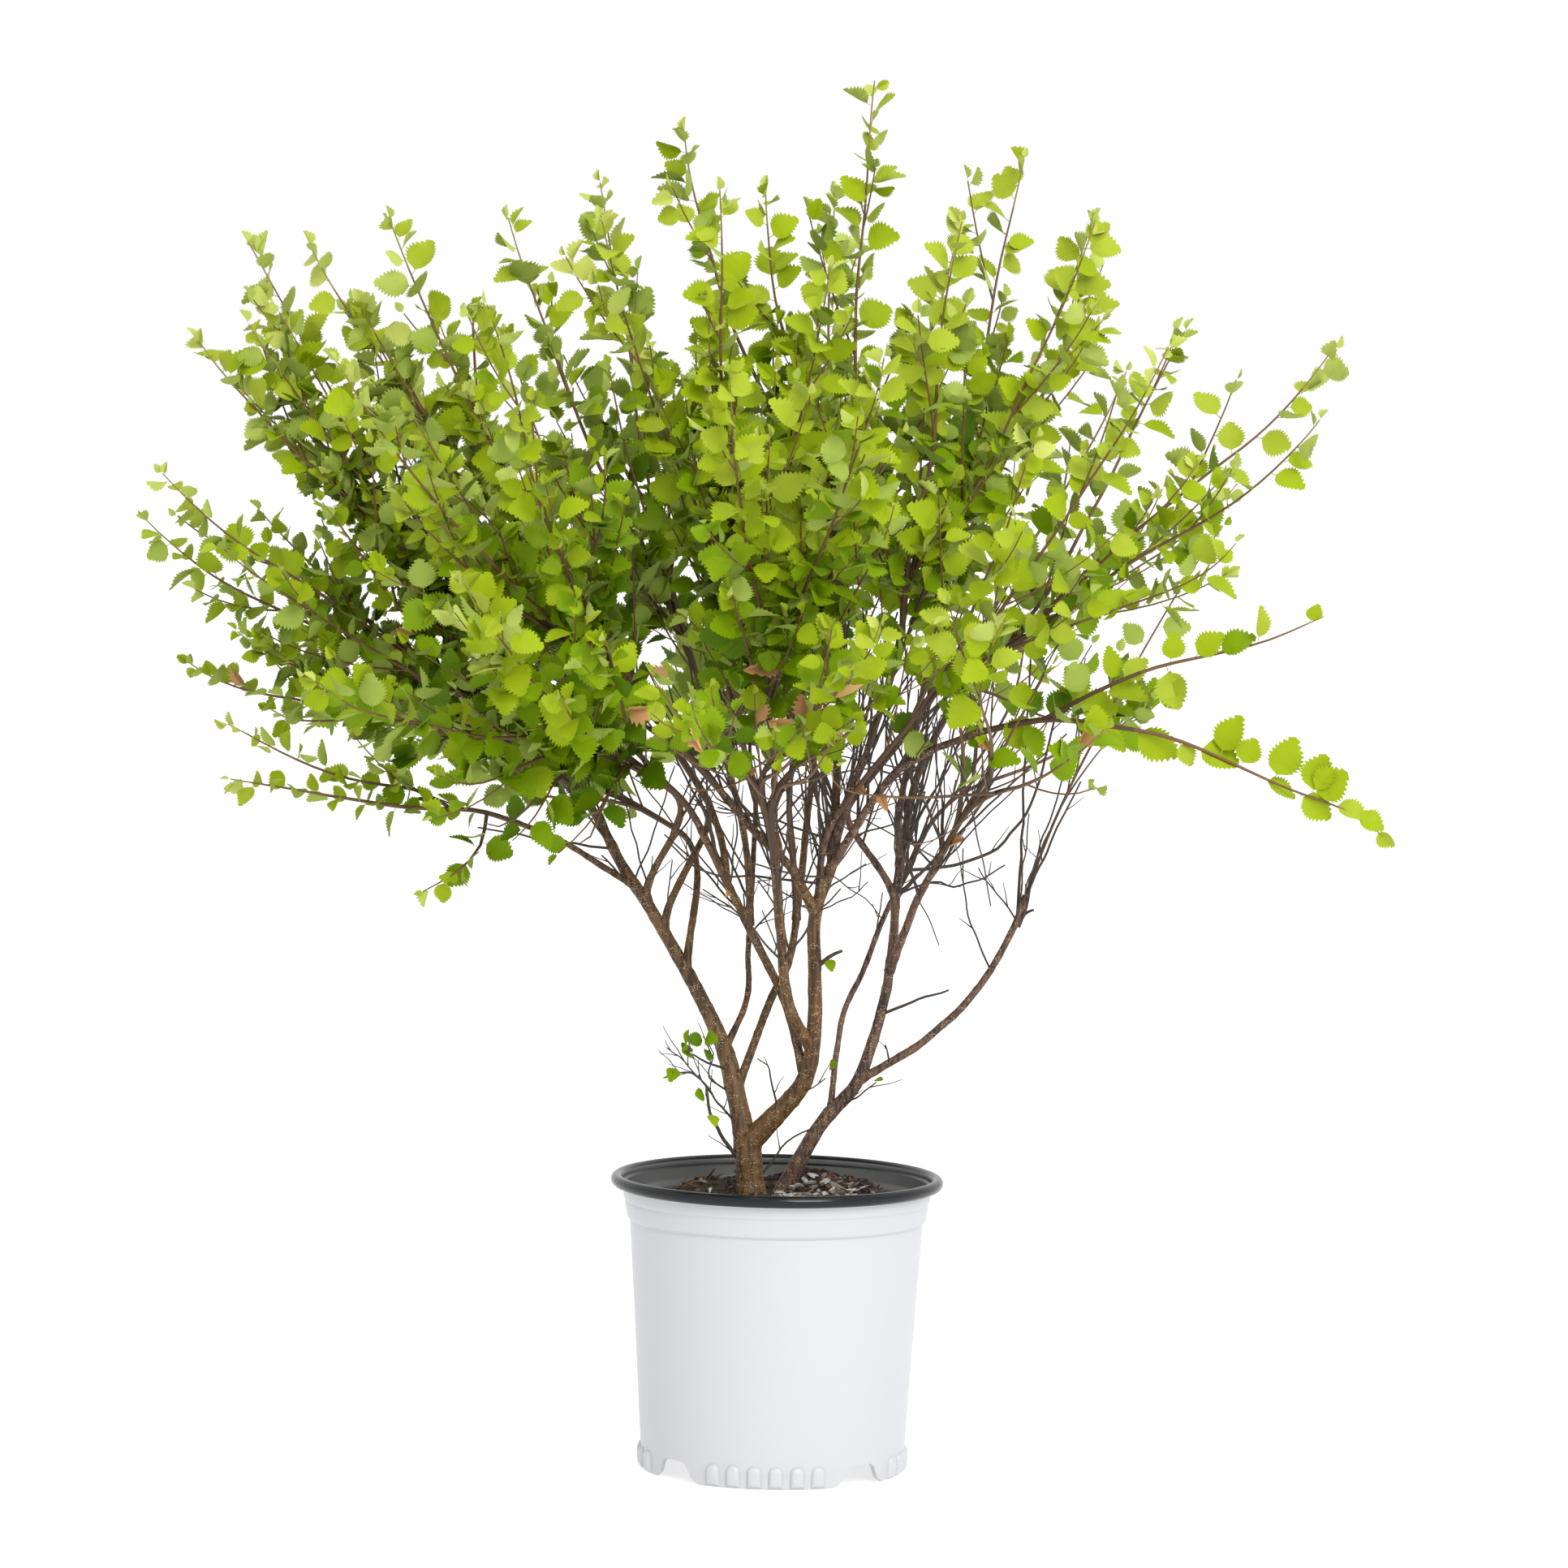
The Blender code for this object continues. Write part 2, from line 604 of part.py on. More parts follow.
# Space that each mass keeps to
class Space:
    """Line segments with an owner, and how far given points lie from them."""

    def __init__(self):
        self.starts = []
        self.ends = []
        self.radii = []
        self.owners = []

    def add(self, route, radii, owner):
        for i in range(len(route) - 1):
            self.starts.append(tuple(route[i]))
            self.ends.append(tuple(route[i + 1]))
            self.radii.append(max(radii[i], radii[i + 1]))
            self.owners.append(owner)

    def close(self):
        self.starts = np.array(self.starts)
        self.spans = np.array(self.ends) - self.starts
        self.radii = np.array(self.radii)
        self.owners = np.array(self.owners)

    def distances(self, points):
        offset = np.array([tuple(p) for p in points])[:, None] - self.starts[None]
        share = (offset * self.spans).sum(-1) / (self.spans**2).sum(-1)
        nearest = offset - np.clip(share, 0.0, 1.0)[..., None] * self.spans
        return np.linalg.norm(nearest, axis=-1)


def within(points, owner, shoots, limbs):
    """Whether all the points lie in the owner's space and clear of every limb."""
    far = shoots.distances(points)
    own = far[:, shoots.owners == owner].min(axis=1)
    other = far[:, shoots.owners != owner].min(axis=1)
    clear = limbs.distances(points) - limbs.radii
    return (other - own).min() > SPACE_MARGIN and clear.min() > LIMB_CLEARANCE


def in_body(points):
    """Whether all the points lie in the full body of the crown."""
    for point in points:
        shares = [abs(d) / half for d, half in zip(point - CROWN_FOOT, CROWN_HALF_SIZE)]
        if sum(share**CROWN_SQUARENESS for share in shares) > 1:
            return False
    return True


# Foliage
def plan_shoots(name, limbs):
    """The routes and radii of a mass's leading shoots. The first one is its stem."""
    bough, shoots = MASSES[name]
    bough_route, bough_radii, _, _ = limbs[bough]
    heading = (bough_route[-1] - bough_route[-2]).normalized()
    foot = bough_route[-1] + heading * GAP
    radius = bough_radii[-1]
    planned = []
    for split, shoot in zip(LEADER_SPLIT, shoots):
        tip = Vector(shoot[-1])
        outwards = (tip - CROWN_FOOT).normalized()
        if planned:
            stem, stem_radii = planned[0]
            at = split * (len(stem) - 1)
            i = int(at)
            foot = stem[i].lerp(stem[i + 1], at - i)
            heading = (stem[i + 1] - stem[i]).normalized()
            radius = stem_radii[i + 1] * LEADER_THINNING
        if len(shoot) > 1:
            last = (tip - Vector(shoot[-2])).normalized()
            way = [Vector(p) for p in shoot[:-1]] + [tip - last * TIP_LEAF_LENGTH * TIP_LEAF_ROOM]
            route = smooth_route([foot, *way], LEADER_STEP)
        else:
            bend = (tip - foot).length * LEADER_BEND
            arrival = (outwards + Vector((0.0, 0.0, LEADER_RISE))).normalized()
            end = tip - arrival * TIP_LEAF_LENGTH * TIP_LEAF_ROOM
            route = interpolate_bezier(foot, foot + heading * bend, end - arrival * bend, end, LEADER_POINTS)
        planned.append((route, radii_along(route, (radius * 2, TWIG_RADIUS * 2, TWIG_TIP_RADIUS * 2))))
    return planned


def plan_twigs(planned, owner, shoots, limbs, dice):
    """Side twigs along each leading shoot, each turned on from the last. One that would leave the space
    is tried shorter, and then skipped."""
    twigs = []
    turn = dice.uniform(0, 2 * math.pi)
    for route, radii in planned:
        length = sum((b - a).length for a, b in zip(route, route[1:]))
        count = int(length * TWIG_COUNTED / TWIG_SPACING)
        for n in range(count):
            share = TWIG_FIRST + TWIG_RANGE * n / max(1, count - 1)
            at = share * (len(route) - 1)
            i = int(at)
            foot = route[i].lerp(route[i + 1], at - i)
            along = (route[i + 1] - route[i]).normalized()
            turn += GOLDEN_ANGLE
            side = along.orthogonal().normalized()
            side.rotate(Matrix.Rotation(turn, 3, along))
            heading = along * math.cos(TWIG_ANGLE) + side * math.sin(TWIG_ANGLE)
            reach = TWIG_LENGTH * dice.uniform(*TWIG_LENGTH_SPREAD)
            reach *= TWIG_FOOT_LENGTH - TWIG_SHORTENING * share
            for _ in range(TWIG_TRIES):
                end = foot + heading * reach + Vector((0.0, 0.0, TWIG_RISE * reach))
                middle = foot.lerp(end, 0.5) + heading * reach * TWIG_BOW
                way = [foot.lerp(middle, TWIG_CHECKED_AT), middle, end]
                if in_body(way) and within(way, owner, shoots, limbs):
                    radius = min(TWIG_RADIUS, radii[i + 1] * TWIG_THINNING)
                    twigs.append(([foot, middle, end], [radius, radius * TWIG_THINNING, TWIG_TIP_RADIUS]))
                    break
                reach *= TWIG_RETRY
    return twigs


def leaf_points(root, along, facing, length):
    """A leaf as a flat octahedron: its root, widest points, tip, and the middle of its two faces."""
    side = along.cross(facing).normalized()
    facing = side.cross(along).normalized()
    widest = root + along * length * LEAF_WIDEST_AT
    half = length * LEAF_BREADTH / 2
    thick = facing * LEAF_THICKNESS / 2
    return [root, widest + side * half, root + along * length, widest - side * half,
            widest + thick, widest - thick]


LEAF_FACES = [(0, 1, 4), (1, 2, 4), (2, 3, 4), (3, 0, 4), (1, 0, 5), (2, 1, 5), (3, 2, 5), (0, 3, 5)]


def plan_leaves(branches, leaders, owner, shoots, limbs, dice, bare):
    """Leaves alternate along each shoot and twig, smaller towards its tip, with one at the very tip."""
    leaves = []
    middles = []
    for number, (route, _) in enumerate(branches):
        length = sum((b - a).length for a, b in zip(route, route[1:]))
        leads = number < leaders
        first = length * (bare if leads else TWIG_BARE_SHARE)
        count = max(1, round((length - first) / LEAF_SPACING))
        side_sign = 1 if number % 2 else -1
        for n in range(count + 1):
            share = (first + (length - first) * n / count) / length
            at = min(share * (len(route) - 1), len(route) - LAST_SEGMENT_SHORT)
            i = int(at)
            root = route[i].lerp(route[i + 1], at - i)
            along = (route[i + 1] - route[i]).normalized()
            outwards = (root - CROWN_FOOT).normalized()
            jitter = Vector([dice.uniform(-1, 1) for _ in range(3)])
            across = along.cross(Vector((0.0, 0.0, 1.0)) + jitter * LEAF_ROLL).normalized()
            side_sign = -side_sign
            at_tip = n == count
            if at_tip:
                heading = (along + jitter * TIP_LEAF_STRAY).normalized()
            else:
                heading = along * LEAF_ALONG + across * side_sign * LEAF_ACROSS + jitter * LEAF_STRAY
                heading.normalize()
            facing = Vector((0.0, 0.0, LEAF_FACES_UP)) + outwards * LEAF_FACES_OUT + jitter * LEAF_FACE_STRAY
            size = LEAF_LENGTH + (TIP_LEAF_LENGTH - LEAF_LENGTH) * share**2
            size *= dice.uniform(*LEAF_LENGTH_SPREAD)
            for share_of_size in LEAF_SIZES:
                points = leaf_points(root, heading, facing, size * share_of_size)
                edge = [points[i].lerp(points[j], 0.5) for i in (0, 2) for j in (1, 3)]
                middle = points[0].lerp(points[2], 0.5)
                apart = size * share_of_size * LEAF_APART
                free = all((middle - other).length > apart for other in middles)
                inside = leads or in_body(points)
                if free and inside and within(points[1:5] + edge, owner, shoots, limbs):
                    leaves.append(points)
                    middles.append(middle)
                    break
    return leaves


def make_mass(name, planned, limbs, shoot_space, limb_space, finish):
    owner = list(MASSES).index(name)
    dice = random.Random(SEED * 100 + owner)
    branches = planned + plan_twigs(planned, owner, shoot_space, limb_space, dice)
    bare = BARER_MASSES.get(name, BARE_SHARE)
    leaves = plan_leaves(branches, len(planned), owner, shoot_space, limb_space, dice, bare)
    bough_route = limbs[MASSES[name][0]][0]
    heading = (bough_route[-1] - bough_route[-2]).normalized()
    pieces = [tube(name, *branches[0], TWIG_SIDES, finish, heading)]
    pieces += [tube("twig", route, radii, TWIG_SIDES) for route, radii in branches[1:]]
    pieces += [new_object("leaf", points, LEAF_FACES) for points in leaves]
    mass = pieces[0]
    boolean(mass, pieces[1:], "UNION")
    return mass


def main():
    for old in list(bpy.data.objects):
        bpy.data.objects.remove(old)
    make_pot(material("pot_white", (0.82, 0.82, 0.80), 0.35))
    make_soil(material("bark_mix", (0.10, 0.06, 0.04), 0.95))
    bark = material("brown_bark", (0.16, 0.10, 0.07), 0.75)
    dark_bark = material("dark_bark", (0.09, 0.045, 0.035), 0.65)
    green = material("leaf_green", (0.25, 0.42, 0.06), 0.55)

    limbs = plan_limbs()
    limb_space = Space()
    for name, (route, radii, _, _) in limbs.items():
        make_limb(name, limbs, dark_bark if "right" in name else bark)
        limb_space.add(route, radii, 0)
    limb_space.close()

    planned = {name: plan_shoots(name, limbs) for name in MASSES}
    shoot_space = Space()
    for owner, shoots in enumerate(planned.values()):
        for route, radii in shoots:
            shoot_space.add(route, radii, owner)
    shoot_space.close()
    for name, shoots in planned.items():
        make_mass(name, shoots, limbs, shoot_space, limb_space, green)


if __name__ == "__main__":
    main()
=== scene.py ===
"""Looks of a dwarf birch shrub in a plastic nursery pot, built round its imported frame.

Metres, +Z up, the centre of the pot's underside at the origin, the photographed side facing -Y.
The file is laid out as an add-on and run as a script: each operator builds one group of pieces.
"""

import json
import math
import random
from collections import namedtuple

import bmesh
import bpy
import numpy as np
from bpy.props import FloatProperty, FloatVectorProperty, IntProperty, PointerProperty
from mathutils import Matrix, Quaternion, Vector, noise
from mathutils.geometry import interpolate_bezier

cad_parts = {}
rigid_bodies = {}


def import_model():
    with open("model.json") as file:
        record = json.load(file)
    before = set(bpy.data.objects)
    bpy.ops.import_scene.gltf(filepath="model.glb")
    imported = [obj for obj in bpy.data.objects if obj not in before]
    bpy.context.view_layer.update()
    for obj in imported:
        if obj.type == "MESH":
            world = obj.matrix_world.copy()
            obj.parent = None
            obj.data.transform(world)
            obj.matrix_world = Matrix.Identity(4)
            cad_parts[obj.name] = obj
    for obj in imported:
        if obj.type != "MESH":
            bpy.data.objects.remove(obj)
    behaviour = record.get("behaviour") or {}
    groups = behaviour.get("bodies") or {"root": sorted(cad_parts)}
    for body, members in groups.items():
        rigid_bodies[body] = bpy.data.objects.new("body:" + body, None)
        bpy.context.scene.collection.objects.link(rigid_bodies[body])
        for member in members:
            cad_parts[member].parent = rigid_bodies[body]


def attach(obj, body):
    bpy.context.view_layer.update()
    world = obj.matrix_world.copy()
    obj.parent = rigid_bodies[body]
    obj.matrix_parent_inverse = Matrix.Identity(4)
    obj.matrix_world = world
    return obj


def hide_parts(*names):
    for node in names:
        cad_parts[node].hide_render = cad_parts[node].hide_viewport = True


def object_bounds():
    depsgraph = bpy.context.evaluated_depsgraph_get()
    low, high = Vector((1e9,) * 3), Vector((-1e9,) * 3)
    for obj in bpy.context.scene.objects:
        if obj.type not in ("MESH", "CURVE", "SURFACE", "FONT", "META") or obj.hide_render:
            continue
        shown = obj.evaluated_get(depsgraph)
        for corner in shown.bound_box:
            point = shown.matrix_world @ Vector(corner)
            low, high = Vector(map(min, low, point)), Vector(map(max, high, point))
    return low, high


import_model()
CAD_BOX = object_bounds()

bl_info = {
    "name": "Potted dwarf birch",
    "version": (1, 0, 0),
    "blender": (4, 5, 0),
    "location": "View3D > Sidebar > Shrub",
    "description": "Builds the looks of a dwarf birch shrub in a nursery pot",
    "category": "Object",
}

UP = Vector((0.0, 0.0, 1.0))
SEED = 41
# Without a seed, noise_vector takes its offsets from the clock
noise.seed_set(SEED)

# Pot, as half outlines of radius and height
POT_SIDES = 96
RIM_RADIUS = 0.1175
RIM_TOP = 0.2085
BEAD_RADIUS = 0.0043
LIP_HEIGHT = 0.1985
COLLAR_RADIUS = 0.1065
COLLAR_TOP = 0.193
COLLAR_WALL = 0.0025
LEDGE_DROP = 0.0028
STEP_HEIGHT = 0.178
STEP_DROP = 0.0025
BODY_TOP_RADIUS = 0.1035
FOOT_RADIUS = 0.0925
BODY_WALL = 0.0028
FLOOR_TOP = 0.02
FLOOR_UNDER = 0.017
SKIRT_WALL = 0.004
PAD_RADIUS = 0.03
GROOVE = 0.0006
EASE = 0.0012
COLLAR_DRAFT = 0.0008
SLOPE = (BODY_TOP_RADIUS - FOOT_RADIUS) / STEP_HEIGHT
# Heights at which the body's outline has a point, and degrees at which the bead's has one
BODY_MARKS = (0.0185, 0.021, 0.06, 0.12)
BEAD_MARKS = range(-110, 200, 22)

# Feet of the pot, the arches between them and the upright ribs on each
FOOT_COUNT = 4
FOOT_TURN = math.radians(-3)
ARCH_NEAR = 0.07
ARCH_FAR = 0.11
ARCH_HALF = [
    (0.0, 0.015), (0.0075, 0.0148), (0.0112, 0.0136), (0.0134, 0.011), (0.0148, 0.0078), (0.0166, 0.0046),
    (0.0192, 0.0022), (0.0225, 0.0008), (0.0235, 0.0), (0.0235, -0.005),
]
RIBS_PER_FOOT = 6
RIB_PITCH = math.radians(9.3)
RIB_WIDTH = 0.0104
RIB_TOP = 0.0165
RIB_BOTTOM = 0.0012
RIB_PROUD = 0.0028
RIB_DEPTH = 0.005
RIB_ROUND = 0.0048
RIB_EASE = 0.0036

# Filling
SOIL_TOP = 0.1975
SOIL_EDGE = 0.172
SOIL_FLAT_RADIUS = 0.06
SOIL_RADIUS = BODY_TOP_RADIUS - BODY_WALL - 0.001
SOIL_GAP = 0.0004
SOIL_RINGS = 34
# Height under which painted shade darkens the pot's inside
PAINTED_SHADE_LEVEL = 0.1865
# Heaps and the hollow of the mix: place, radius and height
SOIL_SWELLS = (
    ((0.022, 0.036), 0.03, 0.009),
    ((0.07, 0.02), 0.026, 0.0045),
    ((-0.046, 0.022), 0.028, 0.005),
    ((0.003, 0.006), 0.034, -0.0085),
)

# Lumps of the mix: layer of the noise, its scale and its height
SOIL_LUMPS = ((0.0, 55, 0.0042), (3.0, 160, 0.0022))

# Loose bits on the mix: how many, shortest and longest, breadth and height for a unit of length, shades to
# choose from, the middle of the place where they lie, and its radius
SOIL_BITS = [
    (430, 0.0018, 0.0052, 0.75, 0.55, (0, 1, 1, 1), (0.0, 0.0), 0.094),
    (100, 0.006, 0.0135, 0.55, 0.2, (2, 2, 3), (0.03, -0.002), 0.034),
    (150, 0.0022, 0.006, 0.75, 0.55, (0, 1, 1), (0.034, -0.004), 0.055),
    (12, 0.005, 0.009, 0.6, 0.25, (2, 3), (0.0, 0.0), 0.088),
    (430, 0.006, 0.017, 0.11, 0.08, (0, 0, 1, 1, 1), (0.0, 0.0), 0.094),
]

# Main stems: way-points from the soil up, and diameters spread evenly along them
STEMS = {
    "stem_left": (
        [(-0.0166, -0.01, 0.179), (-0.02, -0.01, 0.2275), (-0.011, -0.012, 0.242),
         (0.0145, -0.02, 0.2725), (0.0235, -0.026, 0.302), (0.024, -0.03, 0.3505),
         (0.0235, -0.03, 0.397), (0.035, -0.024, 0.434), (0.0365, -0.014, 0.48)],
        (0.02, 0.0182, 0.0132, 0.011, 0.0096, 0.0092, 0.0078, 0.006),
    ),
    "stem_right": (
        [(-0.0036, 0.0195, 0.179), (0.029, 0.024, 0.24), (0.056, 0.028, 0.273),
         (0.0725, 0.032, 0.325), (0.079, 0.036, 0.369), (0.082, 0.04, 0.415), (0.09, 0.047, 0.47)],
        (0.0125, 0.0108, 0.0092, 0.0074, 0.0064, 0.0062, 0.0055),
    ),
}

# Boughs in sight: the limb each springs from, the height there, way-points and diameters
SEEN_BOUGHS = {
    "bough_left": (
        "stem_left", 0.222,
        [(-0.031, -0.004, 0.269), (-0.04, 0.002, 0.3), (-0.064, 0.008, 0.346), (-0.093, 0.01, 0.395),
         (-0.112, 0.01, 0.423), (-0.129, 0.012, 0.4545)],
        (0.015, 0.0138, 0.0104, 0.009, 0.0082, 0.0064),
    ),
    "bough_low_left": (
        "bough_left", 0.409, [(-0.14, -0.012, 0.434), (-0.157, -0.022, 0.445), (-0.186, -0.035, 0.4575)],
        (0.0046, 0.0038),
    ),
    "bough_behind_left": (
        "bough_left", 0.296, [(-0.024, 0.022, 0.33), (-0.023, 0.045, 0.37), (-0.02, 0.085, 0.45)],
        (0.0045, 0.0038),
    ),
    "bough_behind_middle": (
        "bough_left", 0.266, [(-0.008, 0.022, 0.327), (0.008, 0.037, 0.368), (0.018, 0.075, 0.465)],
        (0.006, 0.0048),
    ),
    "bough_front_left": (
        "stem_left", 0.28, [(0.003, -0.016, 0.333), (-0.025, -0.028, 0.39), (-0.061, -0.058, 0.464)],
        (0.0064, 0.0052),
    ),
    "bough_front": (
        "stem_left", 0.3, [(0.006, -0.044, 0.335), (-0.001, -0.06, 0.3905), (-0.006, -0.084, 0.44)],
        (0.0078, 0.0058),
    ),
    "bough_middle_left": (
        "stem_left", 0.397, [(0.006, -0.05, 0.43), (-0.014, -0.06, 0.45), (-0.048, -0.082, 0.49)],
        (0.0068, 0.005),
    ),
    "bough_right_front": (
        "stem_right", 0.35, [(0.095, 0.008, 0.4025), (0.114, -0.026, 0.445)], (0.0062, 0.005),
    ),
    "bough_right_low": (
        "stem_right", 0.272,
        [(0.102, 0.03, 0.3015), (0.1385, 0.034, 0.337), (0.163, 0.036, 0.379), (0.173, 0.038, 0.406)],
        (0.0058, 0.0045),
    ),
    "bough_behind_right": (
        "stem_right", 0.25,
        [(0.044, 0.05, 0.312), (0.059, 0.064, 0.348), (0.075, 0.084, 0.388), (0.098, 0.118, 0.435)],
        (0.0044, 0.0036),
    ),
    "bough_far_right": (
        "stem_left", 0.43, [(0.078, -0.074, 0.5), (0.133, -0.12, 0.532)], (0.006, 0.0048),
    ),
    "bough_right_high": (
        "stem_right", 0.425, [(0.082, 0.026, 0.465), (0.09, 0.022, 0.51)], (0.0055, 0.0042),
    ),
    "bough_front_right_high": (
        "stem_left", 0.444, [(0.046, -0.04, 0.48), (0.058, -0.056, 0.515)], (0.0055, 0.0042),
    ),
}

# Boughs inside the crown: the limb each springs from and the height there
INNER_BOUGHS = {
    "bough_left_middle": ("bough_left", 0.4),
    "bough_left_rear": ("bough_left", 0.378),
    "bough_left_low_rear": ("bough_left", 0.35),
    "bough_left_high": ("bough_front_left", 0.42),
    "bough_rear_high": ("bough_behind_middle", 0.385),
    "bough_left_high_rear": ("bough_behind_left", 0.38),
    "bough_right_rear": ("stem_right", 0.395),
    "bough_front_middle": ("bough_front", 0.405),
    "bough_front_high": ("bough_middle_left", 0.44),
    "bough_front_right": ("stem_left", 0.408),
}
INNER_DIAMETERS = (0.0055, 0.0042)
CROWN_FOOT = Vector((-0.01, 0.0, 0.405))
CROWN_HEIGHT = 0.52
CROWN_SPREAD = 0.43
ENTRY_REACH = 0.1
ENTRY_BEND = 0.35
LIMB_STEP = 0.0025
LIMB_STRAY = (0.0007, 40.0)

# Bark: swelling at a limb's foot and how it fades, the main stems' flare, and the old buds
FOOT_SWELLING = 0.3
FOOT_FADE = 0.006
STEM_FLARE = 0.0115
FIRST_BUD = 0.01
BUD_DISTANCE = (0.01, 0.024)
BUD_SWELLING = (0.02, 0.1)
BUD_LENGTH = 0.0022

